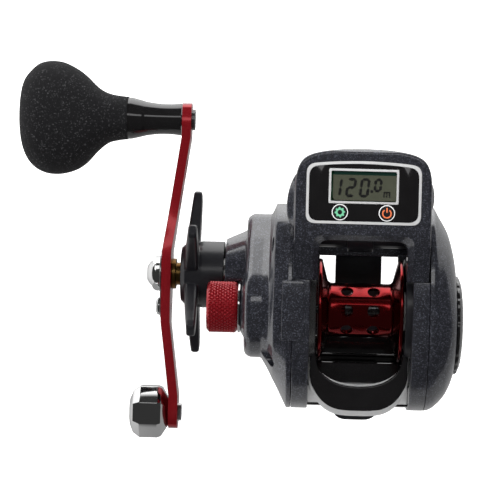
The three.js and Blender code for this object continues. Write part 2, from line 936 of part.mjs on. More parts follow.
// Frame: two side plates, the bars between them and the rear deck
function frame() {
  const plate = alongX(polygon(bodyOutline), bayHalf, plateOuter);
  const postEnd = -yokePlace - yokeThick - yokeLift - run;
  const gearPlate = join(
    moved(plate, -bayHalf - plateOuter, 0, 0),
    atShaft(rod(boltRadius, -plateOuter, -bayHalf)),
    ...earPlaces.map(
      ([y, z]) => moved(rod(yokePostRadius, postEnd, -bayHalf, smallSteps), 0, y, spoolHeight + z),
    ),
  );
  const saddle = box(
    -plateOuter - overrun,
    plateOuter + overrun,
    saddleRear,
    bodyReach + overrun,
    saddleHeight,
    bodyHeight + overrun,
  );
  const ring = turned(
    [
      [-bayHalf - overrun, windingRingRadius - windingRingWall],
      [-bayHalf + windingRingReach, windingRingRadius - windingRingWall],
      [-bayHalf + windingRingReach, windingRingRadius - windingRingWall / 2],
      [-bayHalf, windingRingRadius],
      [-bayHalf - overrun, windingRingRadius],
    ],
    largeSteps,
  );
  const frontBar = alongX(
    roundedBox([frontBarRear, barBase], [frontBarFront, frontBarTop], (frontBarTop - barBase) / 3),
    -bayHalf - overrun,
    bayHalf + overrun,
  );
  const headBar = alongX(
    roundedBox([headBarRear, headBarBase], [headBarFront, saddleHeight], (saddleHeight - headBarBase) / 4),
    -bayHalf - overrun,
    bayHalf + overrun,
  );
  const deck = alongX(
    polygon([
      [-deckFront, deckLip],
      [-deckFront, deckLip - deckThick / 2],
      [-thumbMouth, deckTop - deckThick],
      [-deckRear + deckThick, deckTop - deckThick],
      [-deckRear + deckThick, barBase + deckThick],
      [-deckFront, barBase + deckThick],
      [-deckFront, barBase],
      [-deckRear, barBase],
      [-deckRear, deckTop],
      [-thumbMouth, deckTop],
    ]),
    -bayHalf - overrun,
    bayHalf + overrun,
  );
  const lugSlot = box(
    -plateOuter - overrun,
    -bayHalf + lugInset + run,
    -lugBack - lugHalf - run,
    -lugBack + lugHalf + run,
    spoolHeight + camArmHalf - thumbTravel - run,
    thumbBase + run,
  );
  const through = (radius, y, z) => moved(rod(radius, -plateOuter - overrun, -bayHalf + overrun), 0, y, z);
  const onPalm = (radius, y, z, high) => moved(rod(radius, bayHalf - overrun, high), 0, y, z);
  return cut(
    join(
      gearPlate,
      plate,
      frontBar,
      headBar,
      deck,
      atSpool(cut(ring, moved(tipRoom(-1), 0, 0, -spoolHeight))),
    ),
    saddle,
    lugSlot,
    atSpool(rod(palmHoleRadius, bayHalf - overrun, plateOuter + overrun, largeSteps)),
    atSpool(rod(spoolBearingRadius + play, -plateOuter - overrun, -plateOuter + spoolBearingThick + touch)),
    atSpool(rod(spoolHubRadius, -plateOuter - overrun, -bayHalf + overrun)),
    atShaft(rod(shaftBushRadius + play, -plateOuter - overrun, -plateOuter + shaftBushThick + touch)),
    through(wormEndRadius + play, wormForward, wormHeight),
    onPalm(wormEndRadius + play, wormForward, wormHeight, wormRight + touch),
    through(guideBarRadius + play, guideBarForward, guideBarHeight),
    onPalm(guideBarRadius + play, guideBarForward, guideBarHeight, plateOuter + overrun),
    sensor(play),
    ...footScrewPlaces.map((y) =>
      moved(upright(footScrewRadius + play, 0, footThick + footScrewReach + touch), 0, y, 0),
    ),
    ...coverScrewPlaces.map(([y, z]) => through(coverScrewRadius + play, y, z)),
  );
}
piece("frame", frame(), charcoal);
piece("line_sensor", sensor(0), satinBlack);

// Foot, with its plan rounded and its tips thinned
const footPlan = roundedBox([-footWidth / 2, -footRear], [footWidth / 2, footFront], footCorner);
const footSide = polygon([
  [-footRear, 0],
  [footFront, 0],
  [footFront, footTipThick],
  [footFront - footTaper, footThick],
  [-footRear + footTaper, footThick],
  [-footRear, footTipThick],
]);
const footScrewHoles = footScrewPlaces.flatMap((y) => [
  moved(upright(footScrewRadius + play, -overrun, footThick + overrun), 0, y, 0),
  moved(upright(footScrewHeadRadius + play, -overrun, footScrewHeadDepth + touch), 0, y, 0),
]);
piece(
  "reel_foot",
  cut(
    alongZ(footPlan, 0, footThick).intersect(alongX(footSide, -footWidth / 2, footWidth / 2)),
    ...footScrewHoles,
  ),
  satinBlack,
);
footScrewPlaces.forEach((y, i) => {
  const head = upright(footScrewHeadRadius, touch, footScrewHeadDepth);
  const screw = join(head, upright(footScrewRadius, touch, footThick + footScrewReach));
  const drive = alongZ(polygon(regular(6, footScrewHeadRadius / 2)), -overrun, footScrewHeadDepth / 2);
  piece(["foot_screw_rear", "foot_screw_front"][i], moved(cut(screw, drive), 0, y, 0), steel);
});

// How far between start and end a value lies, from 0 to 1
const progress = (value, start, end) => Math.min(1, Math.max(0, (value - start) / (end - start)));

// Gear cover: the body's outline drawn in to the bosses round the gears
const gearBosses = [
  [shaftForward, shaftHeight, gearBossRadius],
  [0, spoolHeight, spoolBossRadius],
  [wormForward, wormHeight, wormBossRadius],
];
const coverCentre = [coverCentreForward, coverCentreHeight];
const coverAngles = Array.from({ length: largeSteps }, (_, i) => (2 * Math.PI * i) / largeSteps);
const coverReaches = coverAngles.map((angle) => [
  reach(bodyOutline, coverCentre, angle),
  hullReach(gearBosses, coverCentre, angle),
]);

function coverRing(out, trim) {
  return coverAngles.map((angle, i) => {
    const [body, boss] = coverReaches[i];
    const ahead = progress(out, frontStep, frontStep + frontStepLength);
    const behind = progress(out, rearBevel, rearBevelEnd);
    const side = THREE.MathUtils.lerp(behind, ahead, 0.5 + 0.5 * Math.cos(angle));
    const share = boss > body ? progress(out, plateOuter, lowBulgeEnd) : side;
    const radius = THREE.MathUtils.lerp(body, boss, share) - trim;
    return new THREE.Vector3(
      -out,
      coverCentreForward + radius * Math.cos(angle),
      coverCentreHeight + radius * Math.sin(angle),
    );
  });
}

function gearCover() {
  const places = [
    coverSeat,
    rearBevel,
    lowBulge,
    lowBulgeEnd,
    frontStep,
    frontStep + frontStepLength,
    rearBevelEnd,
  ];
  const outer = loft([
    ...places.map((out) => coverRing(out, 0)),
    coverRing(gearBossFace - gearBossEdge, 0),
    coverRing(gearBossFace, gearBossEdge),
  ]);
  const inner = loft([
    coverRing(plateOuter - overrun, coverWall),
    ...places.slice(3).map((out) => coverRing(out, coverWall)),
    coverRing(gearCavityFace, coverWall),
  ]);
  const cone = atShaft(
    turned([[-gearCavityFace, 0], [-gearCavityFace, coneBaseRadius], [-gearBossFace, coneBaseRadius],
      [-coneFace, coneTipRadius], [-coneFace, 0]]),
  );
  const relief = atSpool(rod(castKnobRadius + knobRelief, -coneFace - overrun, -castBossFace));
  const castBoss = atSpool(
    turned([[-gearCavityFace, 0], [-gearCavityFace, castBossRadius], [-gearBossFace, castBossRadius],
      [-castBossFace, castBossTipRadius], [-castBossFace, stubRadius], [-stubLeft, stubRadius],
      [-stubLeft, 0]]),
  );
  const columns = coverScrewPlaces.map(([y, z]) =>
    moved(rod(coverScrewHead + coverWall, -gearBossFace, -coverSeat, smallSteps), 0, y, z).intersect(outer),
  );
  const recesses = coverScrewPlaces.flatMap(([y, z]) => [
    moved(rod(coverScrewHead + run, -gearBossFace - overrun, -coverScrewSeat, smallSteps), 0, y, z),
    moved(rod(coverScrewRadius + play, -gearBossFace - overrun, -plateOuter + overrun, smallSteps), 0, y, z),
  ]);
  return cut(
    join(outer.subtract(inner), ...columns, cone.subtract(relief), castBoss),
    atShaft(rod(oneWayRadius + play, -coneFace - overrun, -oneWayPlace + touch, largeSteps)),
    atShaft(rod(sleeveRadius + run, -coneFace - overrun, -gearCavityFace + overrun)),
    atSpool(
      rod(spoolBearingRadius + play, -bearingPlace - spoolBearingThick - touch, -gearCavityFace + overrun),
    ),
    atSpool(rod(stubBore, -stubLeft - overrun, -gearCavityFace + overrun)),
    ...recesses,
  );
}
piece("gear_cover", gearCover(), charcoal);
coverScrewPlaces.forEach(([y, z], i) => {
  const crown = -coverScrewSeat - coverScrewDepth;
  const head = turned([[-coverScrewSeat - touch, 0], [-coverScrewSeat - touch, coverScrewHead],
    [crown, coverScrewHead * 0.8], [crown, 0]], smallSteps);
  const shank = rod(coverScrewRadius, crown, -plateOuter + coverScrewReach, smallSteps);
  piece(
    `gear_cover_screw_${i + 1}`,
    moved(cut(join(head, shank), crossDrive(-coverScrewSeat)), 0, y, z),
    steel,
  );
});

// A cross recess in a head that faces -X, its mouth beyond the place given
function crossDrive(place) {
  const half = coverScrewHead / 5;
  const long = coverScrewHead * 0.6;
  const mouth = place - coverScrewDepth - overrun;
  const floor = place - coverScrewDepth / 2;
  return join(
    box(mouth, floor, -half, half, -long, long),
    box(mouth, floor, -long, long, -half, half),
  );
}

// Palm cover: the body's outline drawn in to the brake dial
const dialCentre = [-dialCentreBack, dialCentreHeight];
const palmReaches = coverAngles.map((angle) => reach(bodyOutline, dialCentre, angle));

function palmRing([outShare, frontShare, rearShare], trim) {
  const out = THREE.MathUtils.lerp(coverSeat, palmFace, outShare);
  return coverAngles.map((angle, i) => {
    const share = THREE.MathUtils.lerp(rearShare, frontShare, 0.5 + 0.5 * Math.cos(angle));
    const radius = THREE.MathUtils.lerp(palmReaches[i], dialRadius + run, share) - trim;
    return new THREE.Vector3(
      out,
      -dialCentreBack + radius * Math.cos(angle),
      dialCentreHeight + radius * Math.sin(angle),
    );
  });
}

function palmCover() {
  const outer = loft(palmShares.map((row) => palmRing(row, 0)));
  const pocket = loft(palmShares.slice(0, -1).map((row) => palmRing(row, palmWall)));
  const mouth = pocket.translate([-touch - play, 0, 0]);
  const stemHole = moved(
    rod(dialStemRadius + run, palmFace - overrun - palmWall, palmFace + overrun),
    0,
    ...dialCentre,
  );
  const end = moved(
    tube(dialStemRadius + palmWall, dialStemRadius + run, palmFace - 2 * palmWall, palmFace),
    0,
    ...dialCentre,
  );
  return cut(join(outer.subtract(pocket).subtract(mouth), end), stemHole);
}
piece("palm_cover", palmCover(), charcoal);

// Brake dial, its grip ridges round the rim, and the magnet carrier that it moves
const dialGroup = axisGroup(0, ...dialCentre);
function brakeDial() {
  const ridges = Array.from({ length: 4 * dialGrips }, (_, i) => {
    const radius = i % 4 < 2 ? dialRadius : dialRadius - dialGripDepth;
    const angle = (2 * Math.PI * i) / (4 * dialGrips);
    return [radius * Math.cos(angle), radius * Math.sin(angle)];
  });
  const crown = turned(
    [[palmFace + run, 0], [palmFace + run, dialRadius], [dialEdge, dialRadius],
      ...crownShares.map(([out, radius]) => [dialEdge + out * dialCrown, radius * dialRadius]),
      [dialFace, 0]],
    largeSteps,
  );
  const stem = rod(dialStemRadius, palmFace - 2 * palmWall, palmFace + run + play);
  return join(crown.intersect(alongX(polygon(ridges), palmFace, dialFace + overrun)), stem);
}
piece("brake_dial", brakeDial(), glossBlack, dialGroup);

// Spool and what turns with it
const spoolGroup = axisGroup(0, 0, spoolHeight);
function spool() {
  const inside = arborRadius - arborWall;
  const slope = (spoolHalf - spoolRim - arborHalf) / (spoolRadius - arborRadius);
  const back = arborHalf + spoolRim;
  const lip = spoolRadius - spoolRim;
  const hollow = spoolHalf - (lip - inside) * slope - spoolRim / 4;
  const web = arborHalf - spoolWebThick;
  const profile = [
    [-spoolHalf, spoolRadius],
    [-spoolHalf + spoolRim, spoolRadius],
    [-arborHalf, arborRadius],
    [arborHalf, arborRadius],
    [spoolHalf - spoolRim, spoolRadius],
    [spoolHalf, spoolRadius],
    [spoolHalf, lip],
    [hollow, inside],
    [-web + spoolWebThick, inside],
    [-web + spoolWebThick, spoolHubRadius],
    [-web + spoolHubLength, spoolHubRadius],
    [-web + spoolHubLength, spoolShaftRadius + play],
    [-back, spoolShaftRadius + play],
    [-back, spoolHubRadius],
    [-web, spoolHubRadius],
    [-web, inside],
    [-hollow, inside],
    [-spoolHalf, lip],
  ];
  const holes = [];
  for (let row = 0; row < arborHoleRows; row++) {
    for (const side of [-1, 1]) {
      const hole = upright(arborHoleRadius, arborRadius / 2, arborRadius + overrun, arborHoleSteps);
      holes.push(
        moved(hole, (side * arborHoleSpacing) / 2, 0, 0).rotate([(360 * row) / arborHoleRows, 0, 0]),
      );
    }
  }
  return cut(turned(profile, largeSteps), ...holes);
}
piece("spool", spool(), redAnodised, spoolGroup);

const clutchPinPlace = -pinionPlace - clutchPinRadius - touch - play;
piece(
  "spool_shaft",
  join(
    rod(spoolShaftRadius, -spoolShaftLeft, spoolShaftRight),
    moved(upright(clutchPinRadius, -clutchPinHalf, clutchPinHalf), clutchPinPlace, 0, 0),
  ),
  steel,
  spoolGroup,
);
piece(
  "counter_magnet",
  moved(
    rod(counterMagnetRadius, -counterMagnetLeft, -counterMagnetRight, smallSteps),
    0,
    0,
    -counterMagnetOut,
  ),
  steel,
  spoolGroup,
);

// Bearings of the spool and the pinion
const ballBearing = (bore, low) => tube(spoolBearingRadius, bore, low, low + spoolBearingThick);
piece("spool_bearing_gear_side", ballBearing(spoolShaftRadius + play, -plateOuter), steel, spoolGroup);
piece("spool_bearing_palm_side", ballBearing(spoolShaftRadius + play, palmBearingPlace), steel, spoolGroup);
piece(
  "pinion_bearing",
  ballBearing(pinionNoseRadius + play, -bearingPlace - spoolBearingThick),
  steel,
  spoolGroup,
);

// Brake cup, which closes the palm side and carries that bearing
piece(
  "brake_cup",
  cut(
    turned(
    [
      [bayHalf - windingRingReach, brakeCupRadius - brakeCupThick],
      [brakeCupPlace, brakeCupRadius - brakeCupThick],
      [brakeCupPlace, brakeHubRadius],
      [brakeHubStart, brakeHubRadius],
      [brakeHubStart, brakeHubBore],
      [palmBearingPlace - touch, brakeHubBore],
      [palmBearingPlace - touch, spoolBearingRadius + play],
      [brakeHubEnd, spoolBearingRadius + play],
      [brakeHubEnd, spoolBearingRadius + spoolRim],
      [brakeCupPlace + brakeCupThick, spoolBearingRadius + spoolRim],
      [brakeCupPlace + brakeCupThick, brakeCupRadius],
      [bayHalf - windingRingReach, brakeCupRadius],
    ],
    largeSteps,
    ),
    moved(tipRoom(1), 0, 0, -spoolHeight),
  ),
  satinBlack,
  spoolGroup,
);
piece(
  "magnet_carrier",
  tube(carrierRadius, brakeHubRadius + 2 * play, carrierStart, carrierEnd),
  silverPlastic,
  spoolGroup,
);

// Pinion, with its collar slotted for the clutch pin
function pinion() {
  const teethEnd = -pinionTeethPlace - pinionLength;
  const half = Math.PI / pinionTeeth;
  const teeth = turnedBy(
    alongX(polygon(gearOutline(pinionTeeth, gearModule)), teethEnd, -pinionTeethPlace),
    meshAngle + Math.PI + half,
  );
  const body = turned([
    [teethEnd - pinionNoseLength, 0],
    [teethEnd - pinionNoseLength, pinionNoseRadius],
    [-pinionTeethPlace, pinionNoseRadius],
    [-pinionTeethPlace, pinionGrooveRadius],
    [-pinionPlace - pinionCollarThick, pinionGrooveRadius],
    [-pinionPlace - pinionCollarThick, pinionCollarRadius],
    [-pinionPlace, pinionCollarRadius],
    [-pinionPlace, 0],
  ]);
  const slotHalfWidth = clutchPinRadius + run;
  const slot = box(
    clutchPinPlace - clutchPinRadius - play,
    -pinionPlace + overrun,
    -slotHalfWidth,
    slotHalfWidth,
    -pinionCollarRadius - overrun,
    pinionCollarRadius + overrun,
  );
  return cut(
    join(teeth, body),
    slot,
    rod(pinionBore, teethEnd - pinionNoseLength - overrun, -pinionPlace + overrun),
  );
}
piece("pinion_gear", pinion(), brass, spoolGroup);

// Clutch cam with its ramps and its arm under the thumb bar's lug
function clutchCam() {
  const ring = tube(camRadius, camBore, -camFace, -camPlace);
  const arm = box(-camFace, -camPlace, -camArmReach, -camBore - overrun, -camArmHalf, camArmHalf);
  const ramps = [earAngle + Math.PI / 2, earAngle - Math.PI / 2].map((start) => {
    const steps = [0, 1, 2, 3].map((i) => i / 3);
    return ramp(
      rampInner,
      rampOuter,
      steps.map((share) => start - share * camTurn),
      -camFace + touch,
      steps.map((share) => -camFace - share * rampHeight),
    );
  });
  return join(ring, arm, ...ramps);
}
piece("clutch_cam", clutchCam(), steel, spoolGroup);

// Yoke that lifts the pinion, sliding on two posts of the frame
function clutchYoke() {
  const disk = rod(yokeRadius, -yokePlace - yokeThick, -yokePlace);
  const ears = turnedBy(
    alongX(
      roundedBox([-yokeEarReach, -yokeEarHalf], [yokeEarReach, yokeEarHalf], yokeEarHalf - play),
      -yokePlace - yokeThick,
      -yokePlace,
    ),
    earAngle,
  );
  const throat = pinionGrooveRadius + run;
  const slot = turnedBy(
    box(-yokePlace - yokeThick - overrun, -yokePlace + overrun, -throat, throat, 0, yokeRadius + overrun),
    earAngle,
  );
  const padLow = -camFace - (rampHeight * yokePadTurn) / 2 / camTurn - run;
  const pads = [earAngle + Math.PI / 2, earAngle - Math.PI / 2].map((middle) =>
    ramp(
      rampInner,
      rampOuter,
      [middle - yokePadTurn / 2, middle, middle + yokePadTurn / 2],
      -yokePlace - touch,
      [padLow, padLow, padLow],
    ),
  );
  return cut(
    join(disk, ears, ...pads),
    slot,
    rod(throat, -yokePlace - yokeThick - overrun, -yokePlace + overrun),
    ...earPlaces.map(([y, z]) =>
      moved(
        rod(yokePostRadius + play, -yokePlace - yokeThick - overrun, -yokePlace + overrun, smallSteps),
        0,
        y,
        z,
      ),
    ),
  );
}
piece("clutch_yoke", clutchYoke(), brass, spoolGroup);

// Cast control: the knob and the shim that it presses on the spool shaft
function castKnob() {
  const outline = Array.from({ length: 2 * castKnobGrips }, (_, i) => {
    const radius = i % 2 ? castKnobRadius : castKnobRadius - castKnobGripDepth;
    const angle = (Math.PI * i) / castKnobGrips;
    return [radius * Math.cos(angle), radius * Math.sin(angle)];
  });
  const round = turned([
    [-castKnobLeft, 0],
    [-castKnobLeft, castKnobRadius - castKnobEdge],
    [-castKnobLeft + castKnobEdge, castKnobRadius],
    [-castKnobRight - castKnobEdge, castKnobRadius],
    [-castKnobRight, castKnobRadius - castKnobEdge],
    [-castKnobRight, 0],
  ]);
  return cut(
    round.intersect(alongX(polygon(outline), -castKnobLeft - overrun, -castKnobRight + overrun)),
    rod(stubRadius + run, -castKnobLeft + castKnobEnd, -castKnobRight + overrun),
  );
}
piece("cast_control_knob", castKnob(), redAnodised, spoolGroup);
const shimRight = -spoolShaftLeft - shimGap;
piece("tension_shim", rod(shimRadius, shimRight - shimThick, shimRight), brass, spoolGroup);

// Crank assembly: main shaft, the gears and washers on it, the arm, grip and counterweight
const crankGroup = axisGroup(0, shaftForward, shaftHeight);
const shaftHole = shaftRadius + play;
piece(
  "main_shaft",
  join(
    rod(shaftRadius, -shaftLeft, -plateOuter + shaftBushThick),
    rod(shaftTipRadius, -shaftTipLeft, -shaftLeft + touch),
    rod(hubWasherRadius, -armRight + touch, -hubWasherRight),
  ),
  brass,
  crankGroup,
);
piece(
  "main_shaft_bushing",
  tube(shaftBushRadius, shaftHole, -plateOuter, -plateOuter + shaftBushThick),
  brass,
  crankGroup,
);
piece(
  "level_drive_gear",
  cut(
    turnedBy(
      alongX(
        polygon(gearOutline(levelDriveTeeth, levelModule)),
        -levelGearPlace - levelGearThick,
        -levelGearPlace,
      ),
      wormLift,
    ),
    rod(shaftHole, -levelGearPlace - levelGearThick - overrun, -levelGearPlace + overrun),
  ),
  satinBlack,
  crankGroup,
);
const driveFace = driveGearPlace + driveGearThick;
piece(
  "drive_gear",
  cut(
    turnedBy(alongX(polygon(gearOutline(driveTeeth, gearModule)), -driveFace, -driveGearPlace), meshAngle),
    rod(shaftHole, -driveFace - overrun, -driveGearPlace + overrun),
    rod(driveRecessRadius, -driveFace - overrun, -driveFace + driveRecessDepth),
  ),
  brass,
  crankGroup,
);
const washerRight = driveFace - driveRecessDepth + touch;
const washerLeft = washerRight + dragWasherThick;
piece("drag_washer", tube(dragWasherRadius, shaftHole, -washerLeft, -washerRight), carbon, crankGroup);
const plateRight = washerLeft + touch;
const plateLeft = plateRight + pressurePlateThick;
piece(
  "clutch_sleeve",
  cut(
    join(rod(pressurePlateRadius, -plateLeft, -plateRight), rod(sleeveRadius, -sleeveLeft, -plateRight)),
    rod(shaftHole, -sleeveLeft - overrun, -plateRight + overrun),
  ),
  steel,
  crankGroup,
);
piece(
  "one_way_bearing",
  tube(oneWayRadius, sleeveRadius + play, -oneWayPlace - oneWayLength, -oneWayPlace, largeSteps),
  steel,
  crankGroup,
);

// Star drag and its nut
function star() {
  const inside = starSkirtRadius - starSkirtWall;
  const hub = turned([
    [-starSkirtRight, inside],
    [-starSkirtRight, starSkirtRadius],
    [-starHubRight, starSkirtRadius],
    [-starHubRight, starHubRadius],
    [-starHubLeft + starSkirtWall, starHubRadius],
    [-starHubLeft, starHubRadius - starSkirtWall],
    [-starHubLeft, shaftHole + run],
    [-starHubRight, shaftHole + run],
    [-starHubRight, inside],
  ]);
  const arm = alongX(
    polygon([
      [starSkirtRadius / 2, -starArmRoot],
      [starReach - starArmTip, -starArmTip],
      [starReach, -starArmTip / 3],
      [starReach, starArmTip / 3],
      [starReach - starArmTip, starArmTip],
      [starSkirtRadius / 2, starArmRoot],
    ]),
    -starArmRight - starArmThick,
    -starArmRight,
    starSkirtWall / 3,
  );
  const arms = Array.from(
    { length: starArms },
    (_, i) => turnedBy(arm, starFirstArm + (2 * Math.PI * i) / starArms),
  );
  return join(hub, ...arms);
}
piece("star_drag", star(), satinBlack, crankGroup);
piece(
  "star_nut",
  cut(
    alongX(polygon(regular(6, starNutRadius)), -starNutPlace - starNutThick, -starNutPlace),
    rod(shaftHole, -starNutPlace - starNutThick - overrun, -starNutPlace + overrun),
  ),
  brass,
  crankGroup,
);

// Crank arm: the side view bends in towards both ends, the plan is waisted
function crankArm() {
  const spine = [
    [weightLength + armTipReach, armWeightRight],
    [weightLength - weightPadLength / 2, armWeightRight],
    [armFlatRear, armRight],
    [-armFlatFront, armRight],
    [-crankLength + knobPadLength / 2, armKnobRight],
    [-crankLength - armTipReach, armKnobRight],
  ].map(([back, out]) => [-out, -back]);
  const outerSide = [...spine].reverse().map(([x, y]) => [x - armThick, y]);
  const side = alongZ(polygon([...spine, ...outerSide]), -keeperHalf - overrun, keeperHalf + overrun);
  const front = armShares.map(([along, half]) => [along * crankLength, half * armHubHalf]);
  const rear = weightSideShares.map(([along, half]) => [-along * weightLength, half * armHubHalf]);
  const upper = [...front, ...rear];
  const lower = [...upper].slice(1, -1).reverse().map(([y, z]) => [y, -z]);
  const plan = alongX(
    polygon(smooth([...upper, ...lower], 2 * largeSteps)),
    -armRight - 2 * armThick,
    -armKnobRight + overrun,
  );
  const slots = slotPlaceShares.map((share) =>
    alongX(
      roundedBox(
        [share * crankLength - slotLength / 2, -slotHalf],
        [share * crankLength + slotLength / 2, slotHalf],
        slotHalf - play,
      ),
      -armRight - 2 * armThick,
      -armKnobRight + overrun,
    ),
  );
  const hole = (radius, y, steps = smallSteps) =>
    moved(rod(radius, -armRight - 2 * armThick, -armKnobRight + overrun, steps), 0, y, 0);
  return cut(
    side.intersect(plan),
    ...slots,
    hole(shaftHole, 0, middleSteps),
    hole(postRadius + play, crankLength, middleSteps),
    hole(weightScrewRadius + play, -weightLength),
    hole(keeperScrewShank + play, -keeperScrewBack),
  );
}
piece("crank_arm", crankArm(), redAnodised, crankGroup);
const armLeft = armRight + armThick;
const nutRight = armLeft + touch;
function crankNut() {
  const hexagon = alongX(polygon(regular(6, nutAcross / Math.sqrt(3))), -nutLeft, -nutRight);
  const dome = turned([
    [-nutLeft, 0],
    [-nutLeft, nutDomeRadius / 2],
    [-nutLeft + nutDomeRadius / 5, nutDomeRadius * 0.8],
    [-nutRight - nutBodyThick, nutDomeRadius],
    [-nutRight - nutBodyThick + play, nutAcross / 2],
    [-nutRight - nutBodyThick + nutDomeRadius / 4, nutAcross / Math.sqrt(3)],
    [-nutRight, nutAcross / Math.sqrt(3)],
    [-nutRight, 0],
  ]);
  return cut(hexagon.intersect(dome), rod(shaftTipRadius + play, -shaftTipLeft - touch, -nutRight + overrun));
}
piece("crank_nut", crankNut(), chrome, crankGroup);

const keeperLeft = nutRight + keeperThick;
function nutKeeper() {
  const plate = join(
    rod(keeperHalf, -keeperLeft, -nutRight),
    box(-keeperLeft, -nutRight, -keeperScrewBack, 0, -keeperEndRadius, keeperEndRadius),
    moved(rod(keeperEndRadius, -keeperLeft, -nutRight), 0, -keeperScrewBack, 0),
  );
  return cut(
    plate,
    rod(keeperHole, -keeperLeft - overrun, -nutRight + overrun),
    moved(
      rod(keeperScrewShank + play, -keeperLeft - overrun, -nutRight + overrun, smallSteps),
      0,
      -keeperScrewBack,
      0,
    ),
  );
}
piece("nut_keeper", nutKeeper(), steel, crankGroup);
function keeperScrew() {
  const face = -keeperLeft - touch;
  const head = turned([
    [face, 0],
    [face, keeperScrewRadius],
    [face - keeperScrewHeight / 2, keeperScrewRadius],
    [face - keeperScrewHeight, keeperScrewRadius * 0.6],
    [face - keeperScrewHeight, 0],
  ], smallSteps);
  const shank = rod(keeperScrewShank, face - touch, -armRight - armThick / 3, smallSteps);
  return moved(join(head, shank), 0, -keeperScrewBack, 0);
}
piece("keeper_screw", keeperScrew(), steel, crankGroup);

// Grip: a post fixed in the arm, the stem that turns on it, and the foam paddle
const gripGroup = axisGroup(0, crankLength, 0, crankGroup);
piece(
  "grip_post",
  join(
    rod(postHeadRadius, -armKnobRight + touch, -armKnobRight + postHeadThick),
    rod(postRadius, -postLeft, -armKnobRight + touch + play),
  ),
  steel,
  gripGroup,
);
function gripStem() {
  const core = postRadius + gripCoreWall;
  const body = turned([
    [-stemRight, 0],
    [-stemRight, stemFoot],
    ...stemShares.map(([along, wide]) => [
      -stemRight - along * stemLength,
      THREE.MathUtils.lerp(stemWaist, stemFlange, wide),
    ]),
    [-stemLeft + stemLip, stemFlange],
    [-stemLeft, stemFlange],
    [-stemLeft, core],
    [-postLeft - stemLip, core],
    [-postLeft - stemLip, 0],
  ]);
  return cut(
    body,
    rod(postRadius + play, -postLeft - 2 * stemLip, -stemRight + overrun),
  );
}
piece("grip_stem", gripStem(), glossBlack, gripGroup);
function powerGrip() {
  const rings = gripShares.map(([along, half, thick]) =>
    Array.from({ length: middleSteps }, (_, i) => {
      const angle = (2 * Math.PI * i) / middleSteps;
      const square = (value) => Math.sign(value) * Math.abs(value) ** gripSquareShare;
      return new THREE.Vector3(
        -stemLeft - touch - along * gripLength,
        gripHalf * half * square(Math.cos(angle)),
        gripThickHalf * thick * square(Math.sin(angle)),
      );
    }),
  );
  return cut(
    loft(rings),
    rod(postRadius + gripCoreWall + play, -postLeft - 2 * stemLip, -stemLeft + overrun),
  );
}
piece("power_grip", powerGrip(), foam, gripGroup);

// Counterweight and its screw
const weightGroup = axisGroup(0, -weightLength, 0, crankGroup);
function counterweight() {
  const profile = weightShares.map(([along, radius]) => [
    -weightRight - along * (weightLeft - weightRight),
    radius * weightRadius,
  ]);
  const barrel = turnedBy(
    turned([[-weightRight, 0], ...profile, [-weightLeft, 0]], weightSides),
    Math.PI / weightSides,
  );
  return cut(
    barrel,
    rod(
      weightScrewRadius + play,
      -weightRight - weightScrewReach - touch,
      -weightRight + overrun,
      smallSteps,
    ),
  );
}
piece("counterweight", counterweight(), chrome, weightGroup);
piece(
  "counterweight_screw",
  join(
    rod(weightScrewHead, -armWeightRight + touch, -armWeightRight + postHeadThick, smallSteps),
    rod(weightScrewRadius, -weightRight - weightScrewReach, -armWeightRight + touch + play, smallSteps),
  ),
  steel,
  weightGroup,
);

// Level wind: worm in its tube, the gear that turns it, and the guide with its pawl
const wormGroup = axisGroup(0, wormForward, wormHeight);
piece(
  "worm_shaft",
  join(rod(wormRadius, -wormHalf, wormHalf), rod(wormEndRadius, -levelGearPlace - levelGearThick, wormRight)),
  steel,
  wormGroup,
);
piece(
  "worm_gear",
  cut(
    turnedBy(
      alongX(polygon(gearOutline(wormTeeth, levelModule)), -levelGearPlace - levelGearThick, -levelGearPlace),
      wormLift + Math.PI + Math.PI / wormTeeth,
    ),
    rod(wormEndRadius + play, -levelGearPlace - levelGearThick - overrun, -levelGearPlace + overrun),
  ),
  silverPlastic,
  wormGroup,
);
const wormTubeEnd = bayHalf - touch;
const tubeSlotHalf = guideTravel + guideHalf;
piece(
  "worm_tube",
  cut(
    tube(wormTubeRadius, wormTubeBore, -wormTubeEnd, wormTubeEnd),
    box(-tubeSlotHalf, tubeSlotHalf, -wormTubeSlot, wormTubeSlot, -wormTubeRadius - overrun, 0),
  ),
  satinBlack,
  wormGroup,
);
function lineGuide() {
  const barY = guideBarForward - wormForward;
  const barZ = guideBarHeight - wormHeight;
  const bore = wormTubeRadius + run;
  const eyeHeight = guideEyeTop - wormHeight - guideEyeRadius - guideEyeWall;
  const body = join(
    rod(guideRadius, -guideHalf, guideHalf),
    box(-guideHalf, guideHalf, -guideNeckHalf, guideNeckHalf, guideRadius - overrun, eyeHeight),
    moved(alongY(guideEyeRadius + guideEyeWall, -guideNeckHalf, guideNeckHalf, middleSteps), 0, 0, eyeHeight),
    box(-guideHalf / 2, guideHalf / 2, bore, barY, barZ - guideBarRadius, barZ + guideBarRadius),
    moved(rod(guideBarRadius + guideLegWall, -guideHalf / 2, guideHalf / 2, smallSteps), 0, barY, barZ),
    upright(pawlBossRadius, -guideRadius - guideLegDrop, -wormTubeRadius, smallSteps),
  );
  return cut(
    body,
    rod(bore, -guideHalf - overrun, guideHalf + overrun),
    moved(alongY(guideEyeRadius, -guideNeckHalf - overrun, guideNeckHalf + overrun), 0, 0, eyeHeight),
    moved(rod(guideBarRadius + run, -guideHalf, guideHalf, smallSteps), 0, barY, barZ),
    upright(pawlRadius + play, -guideRadius - guideLegDrop - overrun, 0, smallSteps),
  );
}
piece("line_guide", lineGuide(), silverPlastic, wormGroup);
const pawlBase = -guideRadius - guideLegDrop;
piece("pawl", upright(pawlRadius, pawlBase + touch, -wormRadius - play), brass, wormGroup);
